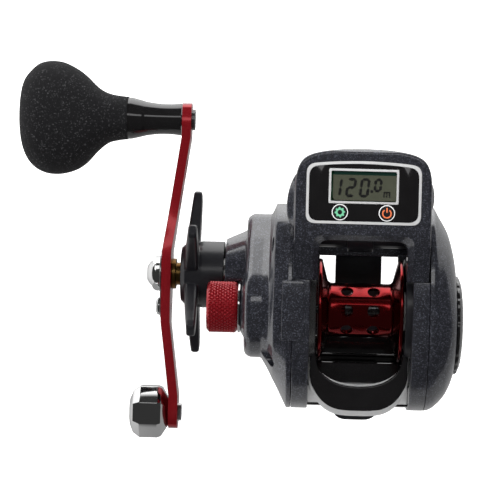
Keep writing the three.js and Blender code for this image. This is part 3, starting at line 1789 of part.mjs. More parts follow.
piece(
  "guide_bar",
  moved(
    rod(guideBarRadius, -bayHalf - guideBarSeat, bayHalf + guideBarSeat, smallSteps),
    0,
    guideBarForward,
    guideBarHeight,
  ),
  steel,
);

// Thumb bar: the moulded bar on a bright plate whose lug passes the gear-side plate to the cam
function thumbOutline(inset) {
  const half = thumbHalf - inset;
  const tips = thumbMouth * thumbTipShare + thumbMouthShift;
  const mouth = mouthShares.map(
    ([across, deep]) => [across * half, -(tips + (thumbMouth + inset - tips) * deep)],
  );
  const rear = thumbRearShares.map(([across, back]) => [across * half, -back * (thumbRear - inset)]);
  const right = [
    ...bow([...mouth].reverse(), smallSteps),
    [half, -tips - 3 * thumbEdge],
    ...bow(rear, smallSteps),
  ];
  const left = right.slice(1, -1).reverse().map(([x, y]) => [-x, y]);
  return polygon([...right, ...left]);
}
const lugBase = spoolHeight + camArmHalf + run;
piece("thumb_bar", alongZ(thumbOutline(thumbInset), thumbBase + touch, thumbTop, thumbEdge), glossBlack);
const thumbPlateBase = thumbBase - thumbPlateThick;
piece(
  "clutch_plate",
  join(
    alongZ(thumbOutline(0), thumbPlateBase, thumbBase),
    box(-lugReach, -bayHalf + lugInset, -lugBack - lugHalf, -lugBack + lugHalf, lugBase, thumbBase - play),
  ),
  chrome,
);

// Line counter: housing on the frame's saddle, and the pieces in it
function panelOutline(grow, front, rear, half, corner, arch) {
  const shape = new THREE.Shape();
  const right = half + grow;
  const top = front + grow - arch;
  const low = rear - grow;
  shape.absarc(right - corner, low + corner, corner, -Math.PI / 2, 0);
  shape.absarc(right - corner, top - corner, corner, 0, Math.PI / 2 - arch / half);
  shape.quadraticCurveTo(0, top + 2 * arch, -right + corner * (1 - arch / half), top - corner * 0.002);
  shape.absarc(-right + corner, top - corner, corner, Math.PI / 2 + arch / half, Math.PI);
  shape.absarc(-right + corner, low + corner, corner, Math.PI, 1.5 * Math.PI);
  return shape;
}

function counterHousing() {
  const length = counterFront - saddleRear;
  const front = hoodShares.map(([across, along]) => [across * counterHalf, saddleRear + along * length]);
  const rightEdge = [[counterHalf, saddleRear + touch], ...bow(front, smallSteps)];
  const leftEdge = rightEdge.slice(0, -1).reverse().map(([x, y]) => [-x, y]);
  const plan = alongZ(polygon([...rightEdge, ...leftEdge]), counterBase - overrun, counterTop + overrun);
  const drop = counterTop - legTop;
  const side = alongX(
    polygon([
      [saddleRear + touch, saddleHeight + touch],
      [saddleFront, saddleHeight + touch],
      [saddleFront, counterBase],
      [counterFront - drop / 3, counterBase],
      [counterFront - drop / 8, counterBase + drop / 4],
      [counterFront, counterBase + drop],
      [counterFront, counterTop - drop * 0.6],
      [counterFront - drop / 6, counterTop - drop / 5],
      [counterFront - drop / 2, counterTop],
      [counterRear + drop / 2, counterTop],
      [counterRear, counterTop - drop / 8],
      [saddleRear + drop / 4, legTop],
      [saddleRear + touch, legTop - drop / 12],
    ]),
    -counterHalf,
    counterHalf,
  );
  const window = alongZ(
    roundedBox([-bayHalf, saddleRear - 2 * windowCorner], [bayHalf, counterRear], windowCorner),
    counterBase - overrun,
    counterTop + overrun,
  );
  const panelPocket = alongZ(
    panelOutline(play, panelFront, panelRear, panelHalf, panelCorner, panelArch),
    counterTop - panelSink - panelThick - touch,
    counterTop + overrun,
  );
  const boardPocket = alongZ(
    roundedBox([-boardHalf - run, boardRear - run], [boardHalf + run, boardFront + run], panelCorner / 3),
    boardTop - boardThick - touch,
    counterTop,
  );
  const capPocket = moved(
    upright(capRadius + play, counterBase - overrun, counterBase + capThick + touch, middleSteps),
    0,
    cellForward,
    0,
  );
  const cellPocket = moved(
    upright(cellRadius + run, counterBase, counterBase + capThick + cellThick + 3 * touch, middleSteps),
    0,
    cellForward,
    0,
  );
  const screwHoles = [-1, 1].map((sign) => {
    const hole = rod(
      counterScrewShank + play,
      counterHalf - counterScrewReach - touch,
      counterHalf + overrun,
      smallSteps,
    );
    return moved(sign > 0 ? hole : hole.rotate([0, 0, 180]), 0, counterScrewForward, counterScrewHeight);
  });
  return cut(plan.intersect(side), window, panelPocket, boardPocket, capPocket, cellPocket, ...screwHoles);
}
piece("counter_housing", counterHousing(), charcoal);
[-1, 1].forEach((sign) => {
  const screw = join(
    rod(counterScrewRadius, counterHalf + touch, counterHalf + touch + counterScrewThick, smallSteps),
    rod(counterScrewShank, counterHalf - counterScrewReach, counterHalf + touch + play, smallSteps),
  );
  const turnedRound = sign > 0 ? screw : screw.rotate([0, 0, 180]);
  piece(
    `counter_screw_${sign > 0 ? "palm" : "gear"}_side`,
    moved(turnedRound, 0, counterScrewForward, counterScrewHeight),
    steel,
  );
});
piece(
  "circuit_board",
  alongZ(
    roundedBox([-boardHalf, boardRear], [boardHalf, boardFront], panelCorner / 3),
    boardTop - boardThick,
    boardTop,
  ),
  boardGreen,
);
piece(
  "coin_cell",
  moved(
    upright(
      cellRadius,
      counterBase + capThick + touch,
      counterBase + capThick + touch + cellThick,
      middleSteps,
    ),
    0,
    cellForward,
    0,
  ),
  steel,
);
piece(
  "battery_cap",
  moved(
    cut(
      upright(capRadius, counterBase, counterBase + capThick, middleSteps),
      box(
        -capRadius * 0.6,
        capRadius * 0.6,
        -capSlotHalf,
        capSlotHalf,
        counterBase - overrun,
        counterBase + capSlotDepth,
      ),
    ),
    0,
    cellForward,
    0,
  ),
  satinBlack,
);
const panelTop = counterTop - panelSink;
const lcdShape = (grow) =>
  roundedBox([-lcdHalf - grow, lcdRear - grow], [lcdHalf + grow, lcdFront + grow], lcdFrameWall);
const keyAt = (body, side) => moved(body, side * keyPlace, keyForward, 0);
piece(
  "counter_panel",
  cut(
    alongZ(
      panelOutline(0, panelFront, panelRear, panelHalf, panelCorner, panelArch),
      panelTop - panelThick,
      panelTop,
    ),
    alongZ(lcdShape(play), counterBase, counterTop + overrun),
    ...[-1, 1].map((side) => keyAt(upright(keyRadius + run, counterBase, counterTop + overrun), side)),
  ),
  glossBlack,
);
piece(
  "lcd_frame",
  cut(
    alongZ(lcdShape(0), panelTop - lcdFrameThick, panelTop),
    alongZ(lcdShape(-lcdFrameWall + play), counterBase, counterTop + overrun),
  ),
  silverPlastic,
);
piece(
  "lcd_display",
  alongZ(lcdShape(-lcdFrameWall), boardTop + touch, counterTop - lcdGlassSink),
  displayGrey,
);
["mode_key", "power_key"].forEach((name, i) => {
  const flangeTop = panelTop - panelThick - touch;
  const key = join(
    upright(keyRadius, flangeTop - keyFlange, panelTop + keyRise),
    upright(keyRadius + keyFlange, flangeTop - keyFlange, flangeTop),
    upright(keyRadius / 2, boardTop + keyTravel + touch, flangeTop),
  );
  piece(name, keyAt(key, i * 2 - 1), silverPlastic);
});

reel.name = "reel";
export default reel;
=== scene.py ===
"""Looks of a left-hand baitcasting reel with a line counter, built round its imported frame."""
import json
import math

import bmesh
import bpy
from mathutils import Matrix, Vector


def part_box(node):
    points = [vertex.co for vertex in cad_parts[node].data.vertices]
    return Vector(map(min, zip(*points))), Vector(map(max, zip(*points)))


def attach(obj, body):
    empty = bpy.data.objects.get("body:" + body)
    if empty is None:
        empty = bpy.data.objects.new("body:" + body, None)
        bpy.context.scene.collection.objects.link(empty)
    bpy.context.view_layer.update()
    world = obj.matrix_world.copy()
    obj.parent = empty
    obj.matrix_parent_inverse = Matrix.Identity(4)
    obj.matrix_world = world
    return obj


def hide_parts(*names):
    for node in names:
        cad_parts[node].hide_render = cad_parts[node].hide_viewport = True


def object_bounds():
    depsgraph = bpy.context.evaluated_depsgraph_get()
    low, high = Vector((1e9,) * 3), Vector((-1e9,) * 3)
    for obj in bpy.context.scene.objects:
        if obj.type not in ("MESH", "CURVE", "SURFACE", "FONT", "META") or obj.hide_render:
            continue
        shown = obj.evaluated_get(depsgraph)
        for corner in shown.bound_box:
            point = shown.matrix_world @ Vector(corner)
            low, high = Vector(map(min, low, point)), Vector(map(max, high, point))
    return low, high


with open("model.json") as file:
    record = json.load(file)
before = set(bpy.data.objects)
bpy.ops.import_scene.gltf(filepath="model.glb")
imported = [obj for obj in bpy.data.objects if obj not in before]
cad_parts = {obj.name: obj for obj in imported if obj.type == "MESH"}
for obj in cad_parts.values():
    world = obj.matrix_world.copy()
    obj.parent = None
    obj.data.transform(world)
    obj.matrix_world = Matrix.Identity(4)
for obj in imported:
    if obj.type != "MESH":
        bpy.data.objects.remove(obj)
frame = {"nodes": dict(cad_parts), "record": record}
cad_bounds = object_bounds()

MM = 0.001
TAU = 2 * math.pi

# Sizes in millimetres, most of them the solids' own
BAY = 16
PLATE = 21.3
SEAT = 21.36
REACH = 33.5
HEIGHT = 44
BAR_BASE = 3.1
SPOOL = (0, 24)
SHAFT = (10, 7.44)
WORM = (24.25, 13.785)
EYE_LIFT = 11.9
DIAL = (-4, 23)
SADDLE_REAR = 9.6
SADDLE = 38.6
BOSS_FACE = 36.6
CAVITY = 34.8
CONE_FACE = 43.6
CAST_FACE = 38
STUB_LEFT = 44.8
STUB_RADIUS = 5.6
CAST_RADIUS = 8.15
CAST_RIGHT = 38.8
CAST_LEFT = 48.7
CRANK = 50.7
WEIGHT_ARM = 45.4
ARM_THICK = 3
ARM_FLAT = 61.4
ARM_KNOB = 56.1
ARM_WEIGHT = 58.2
NUT_SEAT = 64.46
NUT_END = 69.5
KEEPER_FACE = 64.96
KEEPER_SCREW = (-10.8, 0)
HOOD_FRONT = 50.4
HOOD_HALF = 20.6
PANEL_TOP = 49.9
CELL_FORWARD = 39.5
COUNTER_SCREW = (36.6, 43)
COUNTER_SCREW_SEAT = 20.66
COVER_WALL = 1.7
COVER_MIDDLE = (5, 16)
FRONT_STEP = (27.3, 28.8)
REAR_STEP = (22.8, 31.2)
BULGE_END = 25
COVER_SCREWS = ((-15.41, 34.54), (20.1, 33.88))
SCREW_SEAT = 24.6
PALM_FACE = 30.2
PALM_WALL = 1.8
DIAL_RADIUS = 15.7
DIAL_FACE = 32.6
GRIP = (60.7, SHAFT[1])
WEIGHT = (SHAFT[0] - WEIGHT_ARM, SHAFT[1])

# Bosses of the gear cover, each as forward, up and radius
BOSSES = ((*SHAFT, 19), (*SPOOL, 15.8), (*WORM, 6))
# Slot for the clutch plate's leg, as left, right, rear and front
LEG_SLOT = (-22.8, -14.7, -20.5, -18.5)
# Room for the thumb bar's tips, as rear, front, low and high
TIP_ROOM = (-24.2, -13.08, 24.1, 33.2)

# Sizes in millimetres, chosen for the looks
THUMB_HALF = 15.8
THUMB_TIPS = 13.28
THUMB_MOUTH = 24.2
THUMB_REAR = 33.3
DIAL_RIBS = 24
RIB_DEPTHS = (0, 0, 0.15, 0.35, 0.35, 0.15)
POINTER_SPOT = (0, 11.4)
HOOD_TOP = 49.99
HOOD_LEFT = 21.5
PANEL_MIDDLE = -0.4
KEY_SPOTS = ((PANEL_MIDDLE - 7.2, 30.7), (PANEL_MIDDLE + 7.2, 30.7))
RING_LOW = 49.7
ICON_LOW = 49.86
ICON_TOP = 49.97

# Outlines as shares of the sizes that they fill
BODY_SHARES = (
    (-0.7, 0.07), (-0.88, 0.18), (-0.952, 0.34), (-0.941, 0.52), (-0.853, 0.705), (-0.655, 0.864),
    (-0.36, 0.968), (0, 1), (0.33, 0.98), (0.63, 0.91), (0.87, 0.775), (0.985, 0.59), (1, 0.41),
    (0.955, 0.197), (0.78, 0.086), (0.3, 0.045), (-0.3, 0.045),
)
PALM_SHARES = (
    (0, 0, 0), (0.17, 0, 0.03), (0.37, 0.14, 0.12), (0.67, 0.35, 0.36), (0.86, 0.6, 0.64),
    (0.96, 0.82, 0.88), (1, 1, 1),
)
MOUTH_SHARES = ((0.9, 0), (0.87, 0.28), (0.79, 0.53), (0.57, 0.765), (0.3, 0.895), (0, 0.93))
THUMB_REAR_SHARES = ((1, 0.68), (0.9, 0.81), (0.72, 0.92), (0.49, 0.982), (0.25, 1), (0, 1.003))
HOOD_SHARES = ((1, 0.7), (0.985, 0.8), (0.93, 0.885), (0.82, 0.94), (0.62, 0.973), (0.32, 0.993), (0, 1))
ARM_SHARES = (
    (1.107, 0), (1.08, 0.52), (1, 0.73), (0.87, 0.68), (0.6, 0.63), (0.36, 0.7), (0.17, 0.94), (0, 1),
)
WEIGHT_SIDE_SHARES = (
    (0.19, 0.92), (0.4, 0.7), (0.65, 0.64), (0.88, 0.68), (1, 0.73), (1.09, 0.52), (1.119, 0),
)
WEIGHT_SHARES = ((0, 0.52), (0.17, 0.94), (0.26, 1), (0.72, 1), (0.9, 0.82), (1, 0.46))
# Foam grip: place along X, how far its front and its rear stand from the post, and its half height
GRIP_ROWS = (
    (-77, 7, -7, 6.8), (-79.5, 7.2, -7.3, 7.1), (-83.3, 7.9, -8.3, 8), (-86.9, 9.8, -11.3, 9.2),
    (-90.4, 13.1, -15.2, 10.7), (-93.6, 15.5, -17.4, 11.7), (-98, 17.6, -18.8, 12.7),
    (-102.4, 18.1, -18.9, 13), (-106.2, 17.2, -17.6, 12.6), (-109.2, 14.6, -14.9, 11),
    (-111.2, 11.6, -10.8, 8.5), (-112.2, 7.3, -5.8, 5.2), (-112.55, 2.4, -1.4, 2),
)


# Flat shapes, in millimetres

def bow(points, steps=8):
    """A smooth open line through the points."""
    line = []
    last = len(points) - 1
    for i in range(last):
        before, start, end, after = (Vector(points[min(max(i + k, 0), last)]) for k in (-1, 0, 1, 2))
        for step in range(steps):
            t = step / steps
            line.append(
                start
                + (end - before) * 0.5 * (t - 2 * t**2 + t**3)
                + (end - start) * (3 * t**2 - 2 * t**3)
                + (after - start) * 0.5 * (t**3 - t**2)
            )
    line.append(Vector(points[-1]))
    return [tuple(p) for p in line]


def smooth(points, steps):
    """A smooth closed line through the points."""
    line = []
    count = len(points)
    for i in range(count):
        p = [Vector(points[(i + k) % count]) for k in (-1, 0, 1, 2)]
        t = [0]
        for a, b in zip(p, p[1:]):
            t.append(t[-1] + (b - a).length ** 0.5)
        for step in range(steps):
            u = t[1] + (t[2] - t[1]) * step / steps
            first = [p[k].lerp(p[k + 1], (u - t[k]) / (t[k + 1] - t[k])) for k in range(3)]
            second = [first[k].lerp(first[k + 1], (u - t[k]) / (t[k + 2] - t[k])) for k in range(2)]
            line.append(tuple(second[0].lerp(second[1], (u - t[1]) / (t[2] - t[1]))))
    return line


def eased(points, radii, steps=4):
    """The outline with its corners rounded, by one radius or by a list of them."""
    line = []
    count = len(points)
    for i, point in enumerate(points):
        radius = radii[i] if isinstance(radii, list) else radii
        if radius == 0:
            line.append(tuple(point))
            continue
        corner = Vector(point)
        before = Vector(points[i - 1]) - corner
        after = Vector(points[(i + 1) % count]) - corner
        reach = min(radius, before.length * 0.48, after.length * 0.48)
        start = corner + before.normalized() * reach
        end = corner + after.normalized() * reach
        for step in range(steps + 1):
            t = step / steps
            line.append(tuple(start * (1 - t) ** 2 + corner * 2 * t * (1 - t) + end * t**2))
    return line


def circle(radius, steps, middle=(0, 0)):
    return [
        (middle[0] + radius * math.cos(TAU * i / steps), middle[1] + radius * math.sin(TAU * i / steps))
        for i in range(steps)
    ]


def block(low, high, corner=0.0, steps=6):
    """A rectangle with rounded corners."""
    points = [(low[0], low[1]), (high[0], low[1]), (high[0], high[1]), (low[0], high[1])]
    return eased(points, corner, steps=steps) if corner else points


def inset(outline, depth):
    """The outline drawn in by the depth all round."""
    count = len(outline)
    area = sum(
        outline[i - 1][0] * outline[i][1] - outline[i][0] * outline[i - 1][1] for i in range(count)
    )
    side = 1 if area > 0 else -1
    line = []
    for i in range(count):
        point = Vector(outline[i])
        before = (point - Vector(outline[i - 1])).normalized()
        after = (Vector(outline[(i + 1) % count]) - point).normalized()
        first = Vector((-before.y, before.x)) * side
        second = Vector((-after.y, after.x)) * side
        middle = (first + second).normalized()
        line.append(tuple(point + middle * depth / max(middle.dot(second), 0.4)))
    return line


# Solid shapes

def form(corners, faces):
    """A mesh object from corners in millimetres, its faces turned outwards."""
    mesh = bpy.data.meshes.new("form")
    mesh.from_pydata([Vector(corner) * MM for corner in corners], [], faces)
    build = bmesh.new()
    build.from_mesh(mesh)
    bmesh.ops.recalc_face_normals(build, faces=build.faces)
    build.to_mesh(mesh)
    build.free()
    obj = bpy.data.objects.new("form", mesh)
    bpy.context.scene.collection.objects.link(obj)
    return obj


def lathe(profile, steps=96):
    """Points of (place along X, radius) turned about X."""
    corners = []
    rows = []
    for x, radius in profile:
        count = steps if radius > 0 else 1
        rows.append(list(range(len(corners), len(corners) + count)))
        for y, z in circle(radius, count):
            corners.append((x, y, z))
    faces = []
    for row, following in zip(rows, rows[1:] + rows[:1]):
        if len(row) == 1 and len(following) == 1:
            continue
        for i in range(steps):
            j = (i + 1) % steps
            ring = [row[i % len(row)], row[j % len(row)]]
            ring += [following[j % len(following)], following[i % len(following)]]
            faces.append(list(dict.fromkeys(ring)))
    return form(corners, faces)


def rod(radius, low, high, edge=0.0):
    return lathe(eased([(low, 0), (low, radius), (high, radius), (high, 0)], [0, edge, edge, 0]), 48)


def tube(radius, bore, low, high, edge=0.0, steps=64):
    return lathe(eased([(low, bore), (low, radius), (high, radius), (high, bore)], edge), steps)


def upright(radius, low, high, edge=0.0):
    """A rod that stands along Z."""
    return placed(rod(radius, low, high, edge), turn=-math.pi / 2, about="Y")


def loft(rings):
    """A skin over rings of as many corners each, closed at both ends."""
    count = len(rings[0])
    corners = [corner for ring in rings for corner in ring]
    faces = [list(range(count)), list(range(len(corners) - count, len(corners)))]
    for row in range(len(rings) - 1):
        for i in range(count):
            a = row * count + i
            b = row * count + (i + 1) % count
            faces.append([a, b, b + count, a + count])
    return form(corners, faces)


def slab(outline, low, high, edge=0.0, axis="X", rounds=3, round_low=True):
    """An outline drawn out along X or Z, its rims rounded."""
    levels = [(low, 0), (high, 0)]
    if edge:
        curve = [
            (edge * (1 - math.cos(angle)), edge * (1 - math.sin(angle)))
            for angle in (math.pi / 2 * i / rounds for i in range(rounds + 1))
        ]
        start = [(low + rise, depth) for rise, depth in curve] if round_low else [(low, 0)]
        levels = start + [(high - rise, depth) for rise, depth in reversed(curve)]
    rings = []
    for height, depth in levels:
        rim = inset(outline, depth) if depth else outline
        rings.append([(a, b, height) if axis == "Z" else (height, a, b) for a, b in rim])
    return loft(rings)


def brick(x0, x1, y0, y1, z0, z1, edge=0.0):
    """A box, its edges along X rounded more than those of its ends."""
    return slab(block((y0, z0), (y1, z1), edge), x0, x1, edge * 0.7)


def settle(obj):
    """The object with its modifiers worked into its mesh."""
    graph = bpy.context.evaluated_depsgraph_get()
    mesh = bpy.data.meshes.new_from_object(obj.evaluated_get(graph))
    obj.modifiers.clear()
    worn = obj.data
    obj.data = mesh
    bpy.data.meshes.remove(worn)
    return obj


def combine(obj, tools, operation):
    """The object after a boolean operation with each tool, the tools used up."""
    for tool in tools:
        change = obj.modifiers.new("combine", "BOOLEAN")
        change.operation = operation
        change.solver = "MANIFOLD"
        change.object = tool
    settle(obj)
    for tool in tools:
        bpy.data.meshes.remove(tool.data)
    return obj


def join(obj, *tools):
    return combine(obj, tools, "UNION")


def cut(obj, *tools):
    return combine(obj, tools, "DIFFERENCE")


def common(obj, *tools):
    return combine(obj, tools, "INTERSECT")


def placed(obj, x=0, y=0, z=0, turn=0, about="X"):
    """The object turned about an axis through the origin, then moved."""
    obj.data.transform(Matrix.Translation(Vector((x, y, z)) * MM) @ Matrix.Rotation(turn, 4, about))
    return obj


def at(obj, spot):
    """The object moved to a spot given as forward and up."""
    return placed(obj, 0, *spot)


def twin(obj):
    other = bpy.data.objects.new("form", obj.data.copy())
    bpy.context.scene.collection.objects.link(other)
    return other


def mirrored(obj):
    """The form seen in a mirror across the middle, its faces turned back outwards."""
    other = twin(obj)
    other.data.transform(Matrix.Diagonal((-1, 1, 1, 1)))
    other.data.flip_normals()
    return other


def moulded(obj, voxel, rounds):
    """The form with its edges softened as a moulding's are."""
    skin = obj.modifiers.new("skin", "REMESH")
    skin.mode = "VOXEL"
    skin.voxel_size = voxel * MM
    ease = obj.modifiers.new("ease", "SMOOTH")
    ease.factor = 0.5
    ease.iterations = rounds
    return settle(obj)


def bevelled(obj, width, angle=35, segments=3):
    """The form with its sharp edges broken."""
    edge = obj.modifiers.new("edge", "BEVEL")
    edge.width = width * MM
    edge.segments = segments
    edge.limit_method = "ANGLE"
    edge.angle_limit = math.radians(angle)
    return settle(obj)


def piece(obj, name, look, body, *stands_for, crease=32):
    """A finished piece: named, shaded, painted, and riding on its body."""
    material, slot = look
    obj.name = name
    obj.data.name = name
    obj.data.polygons.foreach_set("use_smooth", [True] * len(obj.data.polygons))
    obj.data.set_sharp_from_angle(angle=math.radians(crease))
    obj.data.materials.clear()
    obj.data.materials.append(material)
    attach(obj, body)
    if stands_for:
        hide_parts(*stands_for)


# Finishes

class Wire:
    """A shader socket that takes part in sums with numbers and with other sockets."""

    def __init__(self, tree, socket=None):
        self.tree = tree
        self.socket = socket

    def node(self, kind, settings, values, output=0):
        """Any node: its settings first, then the numbers or links of its sockets."""
        made = self.tree.nodes.new(kind)
        for name, value in settings.items():
            setattr(made, name, value)
        for name, value in values.items():
            if isinstance(value, Wire):
                self.tree.links.new(value.socket, made.inputs[name])
            else:
                made.inputs[name].default_value = value
        return Wire(self.tree, made.outputs[output] if made.outputs else None)

    def maths(self, operation, first, second):
        return self.node("ShaderNodeMath", {"operation": operation}, {0: first, 1: second})

    def __add__(self, other):
        return self.maths("ADD", self, other)

    def __rsub__(self, other):
        return self.maths("SUBTRACT", other, self)

    def __mul__(self, other):
        return self.maths("MULTIPLY", self, other)

    def __pow__(self, other):
        return self.maths("POWER", self, other)

    def __gt__(self, other):
        return self.maths("GREATER_THAN", self, other)

    __radd__ = __add__
    __rmul__ = __mul__

    def spot(self):
        return self.node("ShaderNodeTexCoord", {}, {}, "Object")

    def noise(self, scale, detail=3.0, roughness=0.6, stretch=None):
        place = self.spot()
        if stretch:
            place = self.node("ShaderNodeVectorMath", {"operation": "MULTIPLY"}, {0: place, 1: stretch})
        values = {"Vector": place, "Scale": scale, "Detail": detail, "Roughness": roughness}
        return self.node("ShaderNodeTexNoise", {}, values)

    def flakes(self, scale):
        """A random number for each fleck."""
        colour = self.node("ShaderNodeTexVoronoi", {}, {"Vector": self.spot(), "Scale": scale}, "Color")
        return self.node("ShaderNodeSeparateColor", {}, {"Color": colour})

    def mix(self, factor, first, second):
        """A colour between two, by the colour sockets 6 and 7 and the colour output 2 of a mix node."""
        return self.node("ShaderNodeMix", {"data_type": "RGBA"}, {0: factor, 6: first, 7: second}, 2)

    def bump(self, height, strength, distance):
        values = {"Height": height, "Strength": strength, "Distance": distance * MM}
        return self.node("ShaderNodeBump", {}, values, "Normal")


def surface(name, make):
    """A material whose shader values come from a function of the tree's first wire."""
    material = bpy.data.materials.new(name)
    material.use_nodes = True
    material.node_tree.nodes.clear()
    wire = Wire(material.node_tree)
    shader = wire.node("ShaderNodeBsdfPrincipled", {}, make(wire))
    wire.node("ShaderNodeOutputMaterial", {}, {"Surface": shader})
    return material


def grey(value):
    return (value, value, value, 1)


def sparkle_paint(w):
    fleck = w.flakes(3700) ** 6
    cloud = w.noise(260)
    return {
        "Base Color": w.mix(fleck * 0.62 + cloud * 0.04, (0.005, 0.0052, 0.0075, 1), (0.15, 0.157, 0.195, 1)),
        "Metallic": fleck * 0.4 + 0.1,
        "Roughness": cloud * 0.1 + 0.25,
        "Coat Weight": 1.0,
        "Coat Roughness": 0.06,
        "Coat IOR": 1.6,
        "Normal": w.bump(fleck, 0.12, 0.03),
    }


def toned(dark, light, scale, swing, rough, detail=3.0, stretch=None, metallic=0.0, coat=None, bump=None):
    """A finish whose colour and roughness follow one noise, and its height too if it has a bump.

    The roughness runs from rough up to rough and swing together. The coat is its weight and roughness,
    the bump its strength and distance.
    """
    def make(w):
        grain = w.noise(scale, detail, stretch=stretch)
        values = {
            "Base Color": w.mix(grain, dark, light),
            "Roughness": grain * swing + rough,
            "Metallic": metallic,
        }
        if coat:
            values["Coat Weight"], values["Coat Roughness"] = coat
        if bump:
            values["Normal"] = w.bump(grain, *bump)
        return values
    return make


red_anodised = toned(
    (0.2, 0.004, 0.006, 1), (0.3, 0.01, 0.012, 1), 700, 0.1, 0.15,
    stretch=(6, 1, 1), metallic=1.0, coat=(0.3, 0.05), bump=(0.03, 0.02),
)


def red_arm(w):
    return {
        **red_anodised(w),
        "Base Color": w.mix(w.noise(700, stretch=(1, 6, 1)), (0.2, 0.005, 0.01, 1), (0.3, 0.01, 0.015, 1)),
        "Metallic": 0.6,
    }


def foam(w):
    cell = w.noise(1500, 6, 0.75)
    fleck = w.flakes(3000) ** 16
    return {
        "Base Color": w.mix(fleck * 0.3 + cell * 0.06, (0.0035, 0.0035, 0.004, 1), (0.14, 0.14, 0.145, 1)),
        "Roughness": cell * 0.15 + 0.72,
        "Specular IOR Level": 0.18,
        "Normal": w.bump(cell, 0.45, 0.1),
    }


def display(w):
    """The glass of the display: grey-green, with a dark band along its front that is painted shade under the
    bezel's front edge.
    """
    shade_band_start = 42.2
    forward = w.node("ShaderNodeSeparateXYZ", {}, {0: w.spot()}, "Y")
    haze = w.noise(500)
    glass = w.mix(haze, (0.046, 0.049, 0.034, 1), (0.056, 0.059, 0.042, 1))
    return {
        # Towards the front the colour turns to a dark green painted shade along the bezel's front edge
        "Base Color": w.mix(forward > shade_band_start * MM, glass, (0.003, 0.016, 0.011, 1)),
        "Roughness": haze * 0.05 + 0.16,
    }


# Name, finish and slot of each look
FINISHES = (
    ("charcoal_paint", sparkle_paint, "body_shell"),
    ("black_gloss", toned(
        (0.0035, 0.0032, 0.0035, 1), (0.007, 0.0066, 0.007, 1), 180, 0.06, 0.05, coat=(0.6, 0.03),
    ), "gloss_black"),
    ("black_satin", toned(
        (0.004, 0.004, 0.005, 1), (0.01, 0.01, 0.012, 1), 1900, 0.12, 0.26,
        coat=(0.15, 0.12), bump=(0.1, 0.05),
    ), "satin_black"),
    ("red_metal", red_anodised, "red_metal"),
    ("red_arm_metal", red_arm, "red_metal"),
    ("bright_chrome", toned(grey(0.54), grey(0.66), 120, 0.05, 0.04, metallic=1.0), "chrome_trim"),
    ("bare_steel", toned(
        grey(0.42), grey(0.62), 900, 0.15, 0.22, stretch=(8, 1, 1), metallic=1.0, bump=(0.06, 0.03),
    ), "steel"),
    ("dark_metal", toned(
        grey(0.09), grey(0.16), 800, 0.12, 0.22, stretch=(8, 1, 1), metallic=0.9,
    ), "body_shell"),
    ("bare_brass", toned(
        (0.1, 0.05, 0.015, 1), (0.34, 0.21, 0.07, 1), 300, 0.2, 0.22, detail=5, metallic=1.0,
    ), "brass"),
    ("foam_black", foam, "grip_foam"),
    ("plastic_silver", toned(grey(0.5), grey(0.62), 900, 0.1, 0.32, metallic=0.35), "silver_plastic"),
    ("display_grey", display, "display"),
    ("display_ink", toned(grey(0.003), grey(0.006), 700, 0.1, 0.3), "display"),
    ("board_green", toned((0.01, 0.07, 0.03, 1), (0.02, 0.12, 0.05, 1), 1200, 0.2, 0.4, detail=2), "board"),
    ("fibre_dark", toned(
        grey(0.012), grey(0.05), 1600, 0.3, 0.45, detail=2, stretch=(1, 5, 1),
    ), "drag_fibre"),
    ("ink_white", toned(grey(0.66), grey(0.74), 600, 0.1, 0.35), "gloss_black"),
    ("ink_green", toned((0.12, 0.42, 0.24, 1), (0.16, 0.5, 0.3, 1), 600, 0.1, 0.35), "gloss_black"),
    ("ink_orange", toned((0.62, 0.13, 0.04, 1), (0.7, 0.18, 0.07, 1), 600, 0.1, 0.35), "gloss_black"),
)
LOOKS = {name: (surface(name, make), slot) for name, make, slot in FINISHES}

# The look of each solid that the scene leaves as it is, by its slot
SLOT_LOOKS = {
    "body_shell": "charcoal_paint", "gloss_black": "black_gloss", "satin_black": "black_satin",
    "red_metal": "red_metal", "chrome_trim": "bright_chrome", "steel": "bare_steel", "brass": "bare_brass",
    "grip_foam": "foam_black", "silver_plastic": "plastic_silver", "display": "display_grey",
    "board": "board_green", "drag_fibre": "fibre_dark",
}
for part in frame["record"]["subparts"]:
    cad_mesh = frame["nodes"][part["node"]].data
    cad_mesh.materials.clear()
    cad_mesh.materials.append(LOOKS[SLOT_LOOKS[part["material_slot"]]][0])
for node in ("spool_shaft", "grip_post"):
    frame["nodes"][node].data.materials[0] = LOOKS["dark_metal"][0]


# Body

body_outline = smooth([(a * REACH, b * HEIGHT) for a, b in BODY_SHARES], 8)


def reach_of(outline, centre, angle):
    """Distance from a centre to an outline in the direction of an angle."""
    dy, dz = math.cos(angle), math.sin(angle)
    far = 0
    for i, (ay, az) in enumerate(outline):
        by, bz = outline[(i + 1) % len(outline)]
        ey, ez = by - ay, bz - az
        cross = dy * ez - dz * ey
        if abs(cross) < 1e-12:
            continue
        along = ((ay - centre[0]) * ez - (az - centre[1]) * ey) / cross
        share = ((ay - centre[0]) * dz - (az - centre[1]) * dy) / cross
        if 0 <= share <= 1:
            far = max(far, along)
    return far


def hull_reach(circles, centre, angle):
    """The same for the hull of circles, each given as forward, up and radius."""
    least = math.inf
    for i in range(180):
        turn = TAU * i / 180
        dy, dz = math.cos(turn), math.sin(turn)
        facing = math.cos(turn - angle)
        if facing > 0.01:
            far = max((y - centre[0]) * dy + (z - centre[1]) * dz + radius for y, z, radius in circles)
            least = min(least, far / facing)
    return least


def progress(value, start, end):
    """How far a value has come from a start to an end, from 0 to 1."""
    return min(1, max(0, (value - start) / (end - start)))


def mixed(a, b, share):
    return a + (b - a) * share


